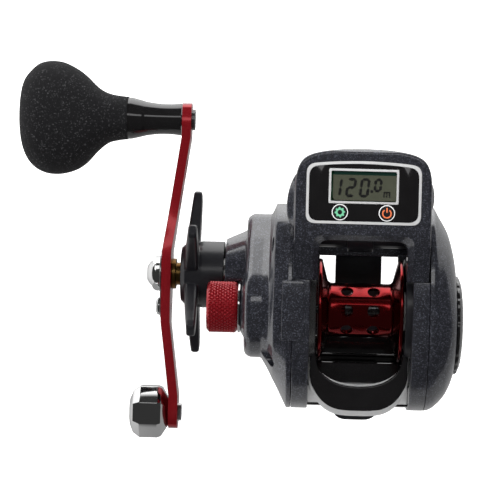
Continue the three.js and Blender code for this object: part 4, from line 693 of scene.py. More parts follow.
def side_frame():
    """Side plates, bars and saddle as one casting."""
    lap = BAY + 1.5
    near = BAY - 1.5
    past = 23
    guide_bar = (30.6, 10.4)
    plate = slab(body_outline, BAY, PLATE, 0.4)
    other = mirrored(plate)
    front_bar = slab(block((17.3, BAR_BASE), (31.5, 4.4), 0.5), -lap, lap)
    front_ridge = slab(block((20, 3.6), (31.5, 5.4), 0.8), -lap, lap)
    head_bar = slab(block((23, 34.4), (30.6, SADDLE), 1), -lap, lap)
    ledge = brick(-lap, -12.9, -9.1, 18, 3.4, 5.4, 0.4)
    body = join(plate, other, front_bar, front_ridge, head_bar, ledge, mirrored(ledge))
    holes = [
        brick(-18.6, -15, -1.4, 1.4, 14.4, 17.2),
        brick(-past, past, SADDLE_REAR, 35, SADDLE, 46),
        at(rod(17.1, near, past), SPOOL),
        at(rod(4.05, -past, -18.84), SPOOL),
        at(rod(2.7, -past, -near), SPOOL),
        at(rod(4.95, -past, -18.24), SHAFT),
        at(rod(1.55, -past, -near), WORM),
        at(rod(1.55, near, 19.46), WORM),
        at(rod(1.35, -past, -near), guide_bar),
        at(rod(1.35, near, past), guide_bar),
        brick(*LEG_SLOT, 21.3, 29.4),
    ]
    return cut(body, *holes)


piece(side_frame(), "side_frame", LOOKS["charcoal_paint"], "reel_body", "frame")


def rear_deck():
    """Glossy deck under the thumb bar: it slopes to a lip behind the spool, over a pan with a small ridge."""
    outline = eased([
        (-16.8, 21.1), (-16.8, 13.5), (-18.6, 13.5), (-18.6, 19), (-25, 21), (-28, 21), (-28, 6.1),
        (-15.8, 5.1), (-15.6, 6.2), (-14.9, 6.2), (-14.7, 5), (-9.2, 4.6), (-9.2, BAR_BASE),
        (-30.6, BAR_BASE), (-30.6, 24), (-24.6, 24),
    ], [0.7, 0.4, 0.4, 0.4, 1, 1.5, 1.5, 0.2, 0.3, 0.3, 0.2, 0.4, 0.4, 1.2, 0.9, 2.5])
    deck = slab(outline, -BAY + 0.02, BAY - 0.02)
    return cut(deck, brick(*LEG_SLOT, 12, 29.4))


piece(rear_deck(), "rear_deck", LOOKS["black_gloss"], "reel_body", crease=12)

rail = slab(eased([
    (-24.4, 24.2), (-24.4, 22.8), (-28.6, 22.8), (-30, 12.4), (-31.2, 12.4), (-31.2, 20), (-30, 24.2),
], [0.3, 0.3, 0.3, 0.3, 0.3, 2, 1], steps=8), -BAY + 0.1, BAY - 0.1)
piece(rail, "rear_rail", LOOKS["plastic_silver"], "reel_body")

gear_ring = lathe(eased(
    [(-16.2, 15.1), (-14, 15.1), (-14, 16.4), (-16, 17.7), (-16.2, 17.7)], [0, 0.35, 0.35, 0, 0]
), 128)
piece(
    cut(at(gear_ring, SPOOL), brick(-BAY - 1, -13.8, *TIP_ROOM)),
    "winding_ring", LOOKS["dark_metal"], "reel_body",
)

brake_cup = lathe(eased([
    (14, 15.1), (16.5, 15.1), (16.5, 3), (12.4, 3), (12.4, 1.6), (18.04, 1.6), (18.04, 4.05), (21, 4.05),
    (21, 5.15), (18.3, 5.15), (18.3, 16.9), (14, 16.9),
], [0.4, 0.3, 0.3, 0.3, 0, 0, 0, 0, 0, 0, 0, 0.4]), 128)
piece(
    cut(at(brake_cup, SPOOL), brick(13.8, BAY + 1, *TIP_ROOM)),
    "brake_housing", LOOKS["black_satin"], "reel_body", "brake_cup",
)

# Foot, with its tips thinned
foot = common(
    slab(block((-7.6, -37), (7.6, 25), 5, 8), 0, 3, 0.35, "Z"),
    slab([(-37.1, -0.1), (25.1, -0.1), (25.1, 1.55), (16, BAR_BASE), (-28, BAR_BASE), (-37.1, 1.55)], -8, 8),
)
for y, name in ((-25.5, "foot_screw_rear"), (22.6, "foot_screw_front")):
    cut(foot, placed(upright(1.45, -1, 4), 0, y), placed(upright(2.45, -1, 1.16), 0, y))
    screw = join(upright(2.4, 0.06, 1.1, 0.25), upright(1.4, 0.9, 4.8))
    socket = slab(circle(1.3, 6), -1, 0.7, 0, "Z")
    piece(placed(cut(screw, socket), 0, y), name + "_head", LOOKS["bare_steel"], "reel_body", name)
piece(foot, "foot", LOOKS["black_satin"], "reel_body", "reel_foot")


# Gear cover

around = [TAU * i / 144 for i in range(144)]
cover_reaches = [
    (reach_of(body_outline, COVER_MIDDLE, angle), hull_reach(BOSSES, COVER_MIDDLE, angle)) for angle in around
]


def cover_ring(out, trim):
    """The body's outline drawn in towards the bosses, sooner in front, at a distance out from the middle."""
    ring = []
    for angle, (body, boss) in zip(around, cover_reaches):
        c, s = math.cos(angle), math.sin(angle)
        ahead = progress(out, *FRONT_STEP)
        behind = progress(out, *REAR_STEP)
        share = mixed(behind, ahead, 0.5 + 0.5 * c)
        if boss > body:
            share = progress(out, PLATE, BULGE_END)
        radius = mixed(body, boss, share) - trim
        ring.append((-out, COVER_MIDDLE[0] + radius * c, COVER_MIDDLE[1] + radius * s))
    return ring


def gear_side():
    """Gear cover: bosses round the gears, a cone round the shaft, and a boss under the cast control."""
    past = 45.1
    inside = -33.3
    steps = (BULGE_END, *FRONT_STEP, REAR_STEP[1])
    flanks = [cover_ring(out, 0) for out in (SEAT, REAR_STEP[0], 23.9, *steps, 34.5)]
    rim = [cover_ring(out, trim) for out, trim in ((35.6, 0.5), (36.3, 1.2), (BOSS_FACE, 2.1))]
    body = loft(flanks + rim)
    hollow = loft([cover_ring(out, COVER_WALL) for out in (19.8, *steps, CAVITY)])
    cone = at(lathe([
        (-CAVITY, 0), (-CAVITY, 15), (-BOSS_FACE, 15), (-CONE_FACE, 11.8), (-CONE_FACE, 0),
    ]), SHAFT)
    cut(cone, at(rod(8.85, -past, -CAST_FACE), SPOOL))
    cast_boss = at(lathe([
        (-CAVITY, 0), (-CAVITY, 10), (-BOSS_FACE, 10), (-CAST_FACE, 7.6), (-CAST_FACE, STUB_RADIUS),
        (-STUB_LEFT, STUB_RADIUS), (-STUB_LEFT, 0),
    ]), SPOOL)
    moulded(join(body, cone, cast_boss), 0.3, 4)
    columns = [common(at(rod(4.2, -BOSS_FACE, -SEAT - 0.1), spot), twin(body)) for spot in COVER_SCREWS]
    cut(body, hollow)
    join(body, *columns)
    return cut(
        body,
        at(rod(8.05, -past, -36.74), SHAFT),
        at(rod(5.7, -past, inside), SHAFT),
        at(rod(4.05, -37.06, inside), SPOOL),
        at(rod(2.2, -46, inside), SPOOL),
        *[at(rod(2.7, -38.1, -SCREW_SEAT), spot) for spot in COVER_SCREWS],
        *[at(rod(1.3, -38.1, -20), spot) for spot in COVER_SCREWS],
    )


def cross(radius, mouth, floor):
    """The room of a cross recess in a head that faces -X."""
    half = radius * 0.2
    long = radius * 0.62
    return join(brick(mouth, floor, -half, half, -long, long), brick(mouth, floor, -long, long, -half, half))


piece(gear_side(), "gear_side_cover", LOOKS["charcoal_paint"], "reel_body", "gear_cover")
for number, spot in enumerate(COVER_SCREWS, 1):
    head = lathe(eased([(-24.66, 0), (-24.66, 2.5), (-26.2, 2.2), (-26.2, 0)], [0, 0.2, 0.5, 0]), 48)
    screw = cut(join(head, rod(1.2, -26, -17)), cross(2.5, -27, -25.3))
    piece(
        at(screw, spot), f"gear_side_screw_{number}", LOOKS["bare_steel"],
        "reel_body", f"gear_cover_screw_{number}",
    )

top_plate = common(slab(inset(body_outline, -0.32), -24.7, -17.9, 0.3), brick(-26, -16, -9.4, 9.4, 42, 46))
piece(bevelled(top_plate, 0.25), "top_plate", LOOKS["charcoal_paint"], "reel_body")


# Palm cover and brake dial

palm_reaches = [reach_of(body_outline, DIAL, angle) for angle in around]
palm_rows = bow(PALM_SHARES, 5)


def palm_ring(row, trim, nudge=0.0):
    """The body's outline drawn in to the dial, by shares: out, in at the front and in at the rear."""
    outward, front, rear = row
    out = mixed(SEAT, PALM_FACE, outward) - nudge
    ring = []
    for angle, body in zip(around, palm_reaches):
        c, s = math.cos(angle), math.sin(angle)
        share = mixed(rear, front, 0.5 + 0.5 * c)
        radius = mixed(body, DIAL_RADIUS + 0.2, share) - trim
        ring.append((out, DIAL[0] + radius * c, DIAL[1] + radius * s))
    return ring


palm_shell = loft([palm_ring(row, 0) for row in palm_rows])
inner_rings = [palm_ring(row, PALM_WALL) for row in palm_rows if row[0] < 0.93]
inner_rings[0] = palm_ring(palm_rows[0], PALM_WALL, 0.3)
cut(palm_shell, loft(inner_rings), at(rod(3.2, 25, 31), DIAL))
piece(palm_shell, "palm_side_cover", LOOKS["charcoal_paint"], "reel_body", "palm_cover")

ridges = []
for i in range(DIAL_RIBS):
    for k, depth in enumerate(RIB_DEPTHS):
        angle = TAU * (i + k / len(RIB_DEPTHS)) / DIAL_RIBS
        ridges.append(((DIAL_RADIUS - depth) * math.cos(angle), (DIAL_RADIUS - depth) * math.sin(angle)))
crown = lathe(eased(
    [(30.4, 0), (30.4, DIAL_RADIUS), (31.1, DIAL_RADIUS), (32.1, 13.5), (DIAL_FACE, 9.73), (DIAL_FACE, 0)],
    [0, 0.2, 0.4, 0.8, 0.8, 0],
), 144)
common(crown, slab(ridges, 30, 33))
cut(crown, tube(8.6, 8.0, 32.3, 33), at(rod(0.7, 32.3, 33), POINTER_SPOT))
join(crown, rod(3, 26.6, 30.6))
piece(at(crown, DIAL), "brake_dial_cap", LOOKS["black_gloss"], "dial", "brake_dial")
pointer = at(rod(0.6, 32.05, 32.4, 0.1), POINTER_SPOT)
piece(at(pointer, DIAL), "dial_pointer", LOOKS["ink_white"], "dial")


# Spool

spool_profile = [
    (-13.35, 16.3), (-12.2, 16.3), (-10.2, 8.65), (10.2, 8.65), (12.2, 16.3), (13.35, 16.3), (13.35, 15.15),
    (11.05, 7.45), (-7.4, 7.45), (-7.4, 2.7), (-4.6, 2.7), (-4.6, 1.55), (-11.35, 1.55), (-11.35, 2.7),
    (-8.8, 2.7), (-8.8, 7.45), (-11.05, 7.45), (-13.35, 15.15),
]
spool_body = lathe(eased(
    spool_profile, [0.5, 0.5, 1.2, 1.2, 0.5, 0.5, 0.3, 0.6, 0.3, 0, 0, 0, 0, 0, 0, 0.3, 0.6, 0.3]
), 160)
spool_holes = [
    placed(upright(1.95, 6, 10), side * 4.2, 0, 0, TAU * row / 8) for row in range(8) for side in (-1, 1)
]
cut(spool_body, *spool_holes)
piece(at(bevelled(spool_body, 0.12, 40, 2), SPOOL), "line_spool", LOOKS["red_metal"], "spool", "spool")


# Thumb bar

def crescent(edge, back, low, high, rounding):
    """A band between a mouth round the spool and a rear edge that follows the body."""
    half = THUMB_HALF - edge
    deep = THUMB_MOUTH + edge - THUMB_TIPS
    mouth = bow([(a * half, -THUMB_TIPS - b * deep) for a, b in MOUTH_SHARES], 12)
    rear = [(half, -THUMB_TIPS - 0.4)] + [(a * half, -b * back) for a, b in THUMB_REAR_SHARES]
    right = []
    for inner, outer in zip(mouth, bow(rear, 10)):
        start = Vector(inner)
        way = Vector(outer) - start
        section = block((0, low), (way.length, high), rounding, 4)
        way.normalize()
        right.append([(start.x + way.x * a, start.y + way.y * a, z) for a, z in section])
    left = [[(-x, y, z) for x, y, z in ring] for ring in right[-2::-1]]
    return bevelled(loft(right + left), 0.3, 50, 3)


thumb = crescent(0.45, THUMB_REAR - 1.9, 29.26, 33, 0.5)
piece(thumb, "thumb_bar_cap", LOOKS["black_gloss"], "thumb_bar", "thumb_bar")
trim = join(crescent(0, THUMB_REAR, 28.3, 29.24, 0.3), brick(-23, -14.9, -20.3, -18.7, 25.7, 29.0))
piece(trim, "thumb_bar_trim", (LOOKS["plastic_silver"][0], "chrome_trim"), "thumb_bar", "clutch_plate")


# Level wind

def in_eye(obj):
    """A turned form laid along Y, at the height of the line guide's eye."""
    return placed(obj, 0, 0, EYE_LIFT, math.pi / 2, "Z")


def guide():
    """Line guide: a sleeve on the worm's tube, an eye above it and a leg to the guide bar."""
    half = 4.2
    leg = (6.35, -3.385)
    body = join(
        rod(5.6, -half, half, 0.5),
        brick(-half, half, -1.2, 1.2, 4.6, EYE_LIFT, 0.4),
        in_eye(rod(3.3, -1.2, 1.2, 0.4)),
        brick(-2.1, 2.1, 4.3, leg[0], -4.68, -2.08),
        at(rod(2.4, -2.1, 2.1, 0.4), leg),
        upright(2.3, -7.6, -half),
    )
    return cut(
        body,
        rod(4.3, -6, 6),
        in_eye(rod(1.75, -3, 3)),
        at(rod(1.4, -3, 3), leg),
        upright(1.3, -9, 0),
    )


piece(at(guide(), WORM), "guide_carriage", LOOKS["black_satin"], "line_guide", "line_guide")
eye = in_eye(tube(2.2, 1.5, -1.5, 1.5, 0.3))
piece(at(eye, WORM), "guide_eye_ring", LOOKS["bright_chrome"], "line_guide")


# Line counter

def hood_plan():
    """The hood from above, a little wider on its gear side."""
    front = [(a, SADDLE_REAR + b * (HOOD_FRONT - SADDLE_REAR)) for a, b in HOOD_SHARES]
    edge = [(1, SADDLE_REAR + 0.06)] + bow(front, 8)
    return [(x * HOOD_HALF, y) for x, y in edge] + [(-x * HOOD_LEFT, y) for x, y in edge[-2::-1]]


def panel_outline(grow):
    """The panel from above, its front edge bowed, grown by a distance all round."""
    half = 17.7 + grow
    rear = 27.1 - grow
    front = 46.6 + grow
    points = [
        (-half, rear), (half, rear), (half, front - 1.2), (0.55 * half, front - 0.36), (0, front),
        (-0.55 * half, front - 0.36), (-half, front - 1.2),
    ]
    return eased([(PANEL_MIDDLE + x, y) for x, y in points], [3, 3, 3, 6, 6, 6, 3], steps=8)


def lcd_outline(grow):
    return block((-11.2 - grow, 33.4 - grow), (10.3 + grow, 44.1 + grow), 0.5, 4)


def counter_hood():
    """Counter housing: a hood on two legs beside the spool, with a swelling on each flank."""
    side = eased([
        (9.66, 38.66), (31, 38.66), (31, 36), (48.1, 36), (49.35, 37.5), (HOOD_FRONT, 42),
        (HOOD_FRONT, 48.6), (48.2, 51), (24, 51), (24, 50), (21, 49.25), (11.1, 44), (9.66, 43.5),
    ], [0, 0.3, 0.3, 0.8, 1, 2, 1, 0, 0, 1.5, 1, 1, 0.5])
    plan = slab(hood_plan(), 30, HOOD_TOP, 0.9, "Z", 4, round_low=False)
    hood = common(plan, slab(side, -22, 22))
    left = smooth([(-17, 22), (-21, 25), (-23.5, 28.5), (-23.9, 34), (-22.9, 39), (-21, 42.6), (-18, 44)], 6)
    right = smooth([(17, 30), (20.2, 31.2), (21.3, 33.4), (21.3, 38.4), (20.2, 40.8), (17, 42)], 6)
    for outline in (left, right):
        join(hood, loft([
            [(mixed(x, max(-20, min(x, 20)), share), y, z) for x, y in outline]
            for z, share in ((40.9, 0.12), (41.4, 0), (46.2, 0), (48.9, 0.88))
        ]))
    moulded(hood, 0.25, 2)
    board_low, board_high = (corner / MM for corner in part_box("circuit_board"))
    window = slab(block((-13.8, 3.6), (13.8, 22.1), 3), 34, 52, 0, "Z")
    splay = loft([
        [(x, y, z + min(0, (y - 23.6) * 0.465) * lean) for x, y in block((-half, 0), (half, front), 3.5)]
        for half, front, z, lean in ((13.7, 22, 48, 1), (15.6, 23.9, 50.2, 1), (15.6, 23.9, 53, 0))
    ])
    pocket = slab(panel_outline(0.05), 48.74, 51, 0, "Z")
    play = 0.2
    room = brick(
        board_low.x - play, board_high.x + play, board_low.y - play, board_high.y + play,
        board_low.z - 0.06, 49,
    )
    cap = placed(upright(7.45, 35, 38.26), 0, CELL_FORWARD)
    cell = placed(upright(6.4, 37, 40.1), 0, CELL_FORWARD)
    holes = (
        (2, COUNTER_SCREW_SEAT, 24), (2, -24, -COUNTER_SCREW_SEAT), (0.95, 17, 21), (0.95, -21, -17),
    )
    screws = [at(rod(*hole), COUNTER_SCREW) for hole in holes]
    return cut(hood, window, splay, pocket, room, cap, cell, *screws)


piece(counter_hood(), "counter_hood", LOOKS["charcoal_paint"], "reel_body", "counter_housing")

panel = slab(panel_outline(0), 48.8, PANEL_TOP - 0.04, 0.1, "Z")
key_holes = [placed(upright(2, 40, 60), *spot) for spot in KEY_SPOTS]
cut(panel, slab(lcd_outline(0.05), 40, 60, 0, "Z"), *key_holes)
piece(panel, "counter_face", LOOKS["black_gloss"], "reel_body", "counter_panel")
rim_outer = slab(panel_outline(-0.02), RING_LOW, ICON_TOP, 0.08, "Z")
rim = cut(rim_outer, slab(panel_outline(-0.85), 49, 51, 0, "Z"))
piece(rim, "counter_rim", LOOKS["plastic_silver"], "reel_body")
bezel = cut(slab(lcd_outline(0), 48.4, 49.98, 0.15, "Z"), slab(lcd_outline(-0.7), 40, 60, 0, "Z"))
piece(bezel, "display_bezel", LOOKS["plastic_silver"], "reel_body", "lcd_frame")


def strokes(outlines, low, high):
    """Several flat shapes as one piece."""
    corners, faces = [], []
    for outline in outlines:
        shape = slab(outline, low, high, 0, "Z")
        start = len(corners)
        corners += [tuple(v.co / MM) for v in shape.data.vertices]
        faces += [[start + i for i in face.vertices] for face in shape.data.polygons]
        bpy.data.meshes.remove(shape.data)
    return form(corners, faces)


def digit(segments, middle, wide, tall, low):
    """A slanted figure of seven bars, named a to g from the top round to the middle one."""
    thick = 0.82
    gap_share = 0.06
    slant = 0.12
    bars = {
        "a": ((-wide / 2, tall), (wide / 2, tall)), "b": ((wide / 2, tall), (wide / 2, tall / 2)),
        "c": ((wide / 2, tall / 2), (wide / 2, 0)), "d": ((-wide / 2, 0), (wide / 2, 0)),
        "e": ((-wide / 2, tall / 2), (-wide / 2, 0)), "f": ((-wide / 2, tall), (-wide / 2, tall / 2)),
        "g": ((-wide / 2, tall / 2), (wide / 2, tall / 2)),
    }
    outlines = []
    for name in segments:
        start, end = (Vector(point) for point in bars[name])
        way = (end - start).normalized()
        across = Vector((-way.y, way.x)) * thick / 2
        near = start + way * thick * gap_share
        far = end - way * thick * gap_share
        taper = way * thick / 2
        ends = [near, near + taper + across, far - taper + across, far, far - taper - across,
                near + taper - across]
        outlines.append([(middle + p.x + (p.y - tall / 2) * slant, low + p.y) for p in ends])
    return outlines


# Three large figures, a point, a small figure, and a unit of three legs and a bar
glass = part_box("lcd_display")[1].z / MM
figures = []
for segments, middle in (("bc", -8.7), ("abged", -4.4), ("abcdef", -0.2)):
    figures += digit(segments, middle, 2.2, 5.1, 35.8)
figures.append(circle(0.46, 12, (2, 37.3)))
figures += digit("abcdef", 3.9, 1.7, 3.4, 37.5)
for x in (5.8, 6.65, 7.5):
    figures.append(block((x - 0.19, 35.5), (x + 0.19, 37.2)))
figures.append(block((5.65, 36.9), (7.69, 37.25)))
piece(strokes(figures, glass + 0.005, glass + 0.05), "display_figures", LOOKS["display_ink"], "reel_body")

for node, spot in zip(("mode_key", "power_key"), KEY_SPOTS):
    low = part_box(node)[0].z / MM
    key = join(upright(1.9, 48.3, 49.92, 0.15), upright(2.4, 48.24, 48.74), upright(0.95, low, 48.5))
    piece(placed(key, *spot), node + "_cap", LOOKS["black_satin"], node, node)
    ring = cut(upright(2.5, RING_LOW, 49.94, 0.08), upright(2.22, 49, 51))
    piece(placed(ring, *spot), node + "_ring", LOOKS["ink_white"], "reel_body")

# A cog of eight teeth on one key, a power sign on the other
cog = []
for i in range(32):
    radius = 1.62 if i % 4 < 2 else 1.25
    cog.append((radius * math.cos(TAU * i / 32), radius * math.sin(TAU * i / 32)))
cog_icon = cut(slab(cog, ICON_LOW, ICON_TOP, 0, "Z"), upright(0.72, 49, 51))
piece(placed(cog_icon, *KEY_SPOTS[0]), "cog_icon", LOOKS["ink_green"], "mode_key")
arc = [math.radians(125 + 290 * i / 30) for i in range(31)]
power_sign = [(1.5 * math.cos(a), 1.5 * math.sin(a) - 0.1) for a in arc]
power_sign += [(1.08 * math.cos(a), 1.08 * math.sin(a) - 0.1) for a in arc[::-1]]
power_bar = block((-0.22, 0.2), (0.22, 1.7))
power_icon = strokes([power_sign, power_bar], ICON_LOW, ICON_TOP)
piece(placed(power_icon, *KEY_SPOTS[1]), "power_icon", LOOKS["ink_orange"], "power_key")

for name, turn in (("palm", 0), ("gear", math.pi)):
    head = cut(rod(1.7, COUNTER_SCREW_SEAT, 21.36, 0.2), brick(21.1, 22, -0.3, 0.3, -2, 2))
    screw = placed(join(head, rod(0.9, 18.2, 20.8)), turn=turn, about="Z")
    piece(
        at(screw, COUNTER_SCREW), f"side_screw_{name}", LOOKS["bare_steel"],
        "reel_body", f"counter_screw_{name}_side",
    )
cap = cut(upright(7.4, 36, 38.2, 0.3), brick(-4.4, 4.4, -0.7, 0.7, 35, 36.9))
piece(placed(cap, 0, CELL_FORWARD), "cell_cap", LOOKS["black_satin"], "reel_body", "battery_cap")


# Cast control

def knurled(radius, low, high, count, depth):
    """A barrel with crossed grooves round it and a slope at each rim."""
    rows = 44
    slope = 0.9
    groove_share = 0.3
    steps = count * 6
    pitch = TAU * radius / count
    rings = []
    for row in range(rows + 1):
        x = mixed(low, high, row / rows)
        edge = min(x - low, high - x)
        limit = radius if edge > slope else radius - slope + edge
        v = (x - low) / (pitch * 1.4)
        ring = []
        for i in range(steps):
            u = i / 6
            near = min(abs((u + v) % 1 - 0.5), abs((u - v) % 1 - 0.5))
            r = min(limit, radius - depth * max(0, 1 - near / groove_share))
            angle = TAU * i / steps
            ring.append((x, r * math.cos(angle), r * math.sin(angle)))
        rings.append(ring)
    return loft(rings)


knob = cut(knurled(CAST_RADIUS, -CAST_LEFT, -CAST_RIGHT, 42, 0.3), rod(5.8, -47.1, -38))
piece(at(knob, SPOOL), "cast_knob_grip", LOOKS["red_arm_metal"], "cast_knob", "cast_control_knob")
knob_ring = tube(8.1, 5.9, -38.78, -38.12, 0.15, 96)
piece(at(knob_ring, SPOOL), "cast_knob_ring", LOOKS["bright_chrome"], "cast_knob")


# Star drag

def star_arm():
    """One arm, reaching out from the hub and bending towards the reel."""
    sections = (
        (5, 4.6, -56.9, -52.4), (11, 4.3, -56.7, -52.4), (16, 3.7, -56.2, -52.3), (21, 3.1, -55.7, -52.2),
        (25, 2.75, -55.3, -52.2), (27, 2.4, -55.1, -52.3), (27.8, 1.6, -54.8, -52.6),
    )
    return loft([
        [(x, y, z) for x, z in block((left, -half), (right, half), 0.9, 4)]
        for y, half, left, right in sections
    ])


def star():
    hub = lathe([
        (-44.1, 9.4), (-44.1, 10.9), (-51.3, 10.9), (-53.1, 10.6), (-56.6, 10.2), (-58.2, 8.7), (-58.2, 3.95),
        (-51.3, 3.95), (-51.3, 9.4),
    ])
    arms = [placed(star_arm(), turn=math.radians(-13) + TAU * i / 5) for i in range(5)]
    return moulded(join(hub, *arms), 0.22, 2)


piece(at(star(), SHAFT), "star_wheel", LOOKS["black_satin"], "star", "star_drag")


# Crank

shaft_profile = [
    (-68, 0), (-68, 2.6), (-64.3, 2.6), (-64.3, 3.7), (-61.34, 3.7), (-61.34, 5), (-59.9, 5), (-59.9, 3.7),
    (-18.3, 3.7), (-18.3, 0),
]
piece(
    at(lathe(eased(shaft_profile, [0, 0.4, 0, 0.3, 0, 0.2, 0.2, 0, 0.4, 0]), 96), SHAFT), "crank_shaft",
    LOOKS["bare_brass"], "crank", "main_shaft",
)


def arm():
    """Crank arm: bent in towards both ends, waisted, and slotted."""
    half = 7.4
    span = (-68, -55)
    inner = [
        (-ARM_WEIGHT, -50.8), (-ARM_WEIGHT, -40.15), (-ARM_FLAT, -15.9), (-ARM_FLAT, 7.3), (-ARM_KNOB, 44.95),
        (-ARM_KNOB, 56.1),
    ]
    outer = [(x - ARM_THICK, y) for x, y in inner[::-1]]
    side = slab(inner + outer, -9, 9, 0, "Z")
    upper = [(a * CRANK, b * half) for a, b in ARM_SHARES]
    upper += [(-a * WEIGHT_ARM, b * half) for a, b in WEIGHT_SIDE_SHARES]
    lower = [(y, -z) for y, z in upper[1:-1][::-1]]
    plate = common(side, slab(smooth(upper + lower, 5), *span))
    slots = [block((y * CRANK - 3.6, -1.7), (y * CRANK + 3.6, 1.7), 1.6, 5) for y in (0.485, 0.675)]
    cut(plate, *[slab(outline, *span) for outline in slots])
    bevelled(plate, 0.7, 50, 3)
    holes = ((0, 3.75), (CRANK, 2.25), (-WEIGHT_ARM, 1.65), (KEEPER_SCREW[0], 1.15))
    return cut(plate, *[placed(rod(radius, *span), 0, y) for y, radius in holes])


piece(at(arm(), SHAFT), "crank_plate", LOOKS["red_arm_metal"], "crank", "crank_arm")

nut = common(
    slab(circle(5.7735, 6), -NUT_END, -NUT_SEAT),
    lathe(eased([
        (-NUT_END, 0), (-NUT_END, 2.2), (-68.62, 3.52), (-67.66, 4.4), (-67.61, 5), (-66.56, 5.77),
        (-NUT_SEAT, 5.77), (-NUT_SEAT, 0),
    ], [0, 0.4, 0.6, 0.1, 0.2, 0.4, 0, 0])),
)
cut(bevelled(nut, 0.15, 30, 2), rod(2.65, -68.1, -63))
piece(at(nut, SHAFT), "hex_nut", LOOKS["bright_chrome"], "crank", "crank_nut")

keeper = join(
    rod(7.6, -KEEPER_FACE, -NUT_SEAT, 0.1),
    brick(-KEEPER_FACE, -NUT_SEAT, KEEPER_SCREW[0], 0, -3.6, 3.6),
    at(rod(3.6, -KEEPER_FACE, -NUT_SEAT, 0.1), KEEPER_SCREW),
)
cut(keeper, rod(6, -66, -63), at(rod(1.2, -66, -63), KEEPER_SCREW))
piece(at(keeper, SHAFT), "nut_lock_plate", LOOKS["bare_steel"], "crank", "nut_keeper")
lock_head = lathe(eased(
    [(-65.02, 0), (-65.02, 2.9), (-65.72, 2.9), (-66.42, 1.74), (-66.42, 0)], [0, 0.1, 0.4, 0.5, 0]
), 48)
lock_screw = cut(join(lock_head, rod(1.1, -65.1, -62.4)), cross(2.4, -67, -65.7))
at(lock_screw, KEEPER_SCREW)
piece(at(lock_screw, SHAFT), "lock_screw", LOOKS["bright_chrome"], "crank", "keeper_screw")


# Grip

stem_waist = bow([
    (-59.4, 5.3), (-62.5, 5), (-66.4, 5), (-70.5, 5.5), (-72.5, 6), (-75.6, 6.75), (-76.3, 6.8),
], 5)
stem = lathe([(-59.4, 0)] + stem_waist + [(-76.9, 6.8), (-76.9, 4.4), (-97.2, 4.4), (-97.2, 0)])
cut(stem, rod(2.25, -96.5, -59))
piece(at(stem, GRIP), "grip_collar", LOOKS["black_gloss"], "grip", "grip_stem")


def squared(share):
    """A cosine or sine moved outwards, which turns an ellipse into a slightly squarer oval."""
    return math.copysign(abs(share) ** 0.85, share)


oval = [(squared(c), squared(s)) for c, s in circle(1, 72)]
foam_rings = []
for x, front, rear, thick in bow(GRIP_ROWS, 5):
    middle = (front + rear) / 2
    half = (front - rear) / 2
    foam_rings.append([(x, middle + half * c, thick * s) for c, s in oval])
paddle = cut(loft(foam_rings), rod(4.45, -97.3, -76))
piece(at(paddle, GRIP), "foam_paddle", LOOKS["foam_black"], "grip", "power_grip")


# Counterweight

weight_side = [(-61.3 - a * 12.7, 9.07 * b) for a, b in WEIGHT_SHARES]
weight = lathe([(-61.3, 0)] + weight_side + [(-74, 0)], 8)
bevelled(placed(weight, turn=TAU / 16), 0.22, 20, 3)
cut(weight, rod(1.65, -67, -60))
piece(at(weight, WEIGHT), "counterweight_barrel", LOOKS["bright_chrome"], "crank", "counterweight")


# Floor, light and camera

def pale_floor(w):
    return {
        **toned(grey(0.86), grey(0.9), 3, 0.1, 0.8)(w),
        "Emission Color": grey(1),
        "Emission Strength": 0.75,
    }


floor_top = cad_bounds[0][2] / MM - 0.4
floor_half = 1500
floor = slab(
    block((-floor_half, -floor_half), (floor_half, floor_half), 20), floor_top - 20, floor_top, 2, "Z",
)
floor.name = "floor"
floor.data.materials.append(surface("floor_white", pale_floor))
floor.visible_glossy = False


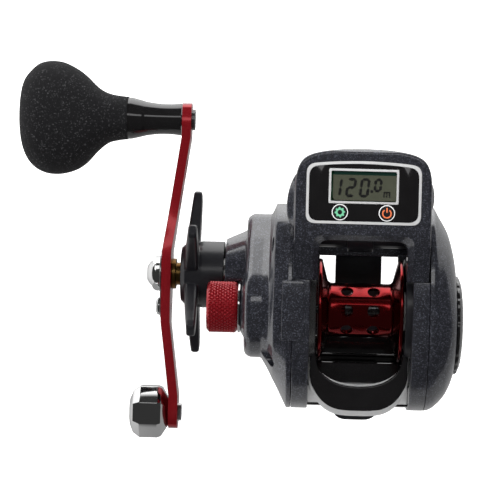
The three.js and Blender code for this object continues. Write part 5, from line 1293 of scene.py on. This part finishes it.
def softbox(name, spot, size, power):
    """A rectangular lamp that faces the reel."""
    lamp = bpy.data.lights.new(name, "AREA")
    lamp.shape = "RECTANGLE"
    lamp.size, lamp.size_y = size
    lamp.energy = power
    obj = bpy.data.objects.new(name, lamp)
    bpy.context.scene.collection.objects.link(obj)
    obj.location = spot
    target = Vector((-0.035, 0.015, 0.02))
    obj.rotation_euler = (target - Vector(spot)).to_track_quat("-Z", "Y").to_euler()
    return obj


# Only the strip shows in reflections
for lamp in (
    softbox("front_light", (-0.03, 0.8, 0.5), (1.3, 0.9), 15.5),
    softbox("rear_light", (-0.03, -1.0, 0.2), (1.2, 0.3), 1),
    softbox("right_light", (1.0, 0.05, 0.2), (1.2, 0.36), 2),
    softbox("left_light", (-1.05, 0.05, 0.25), (1.4, 0.45), 9),
    softbox("top_light", (-0.03, -0.35, 1), (0.8, 0.5), 7),
):
    lamp.visible_glossy = False
softbox("strip_light", (-0.03, 0.28, 0.74), (0.6, 0.14), 0.45)

# Dark above the horizon. Below it, which only reflections see, bright ahead and on the left
world = bpy.data.worlds.new("studio")
bpy.context.scene.world = world
world.use_nodes = True
world.node_tree.nodes.clear()
sky = Wire(world.node_tree)
facing = sky.node("ShaderNodeTexCoord", {}, {}, "Generated")
right, forward, height = (sky.node("ShaderNodeSeparateXYZ", {}, {0: facing}, axis) for axis in "XYZ")
ahead = sky.maths("MAXIMUM", forward, 0) ** 2
left = sky.maths("MAXIMUM", 0 - right, 0) ** 2
low = ahead * 2.4 + left * 0.8 + 0.4
rise = sky.node("ShaderNodeMath", {"operation": "MULTIPLY", "use_clamp": True}, {0: height, 1: 8})
backdrop = sky.node("ShaderNodeBackground", {}, {"Color": sky.mix(rise, low, grey(0.05)), "Strength": 1})
sky.node("ShaderNodeOutputWorld", {}, {"Surface": backdrop})

view = bpy.data.cameras.new("camera")
view.sensor_width = 36
view.lens = 135
view.shift_x = -0.1
view.shift_y = 0.0026
view.clip_start = 0.01
view.clip_end = 20
camera = bpy.data.objects.new("camera", view)
bpy.context.scene.collection.objects.link(camera)
camera.location = (-0.0195, 0.0184, 0.624)
camera.rotation_euler = (0, 0, math.radians(1.5))
bpy.context.scene.camera = camera
bpy.context.scene.view_settings.view_transform = "Standard"
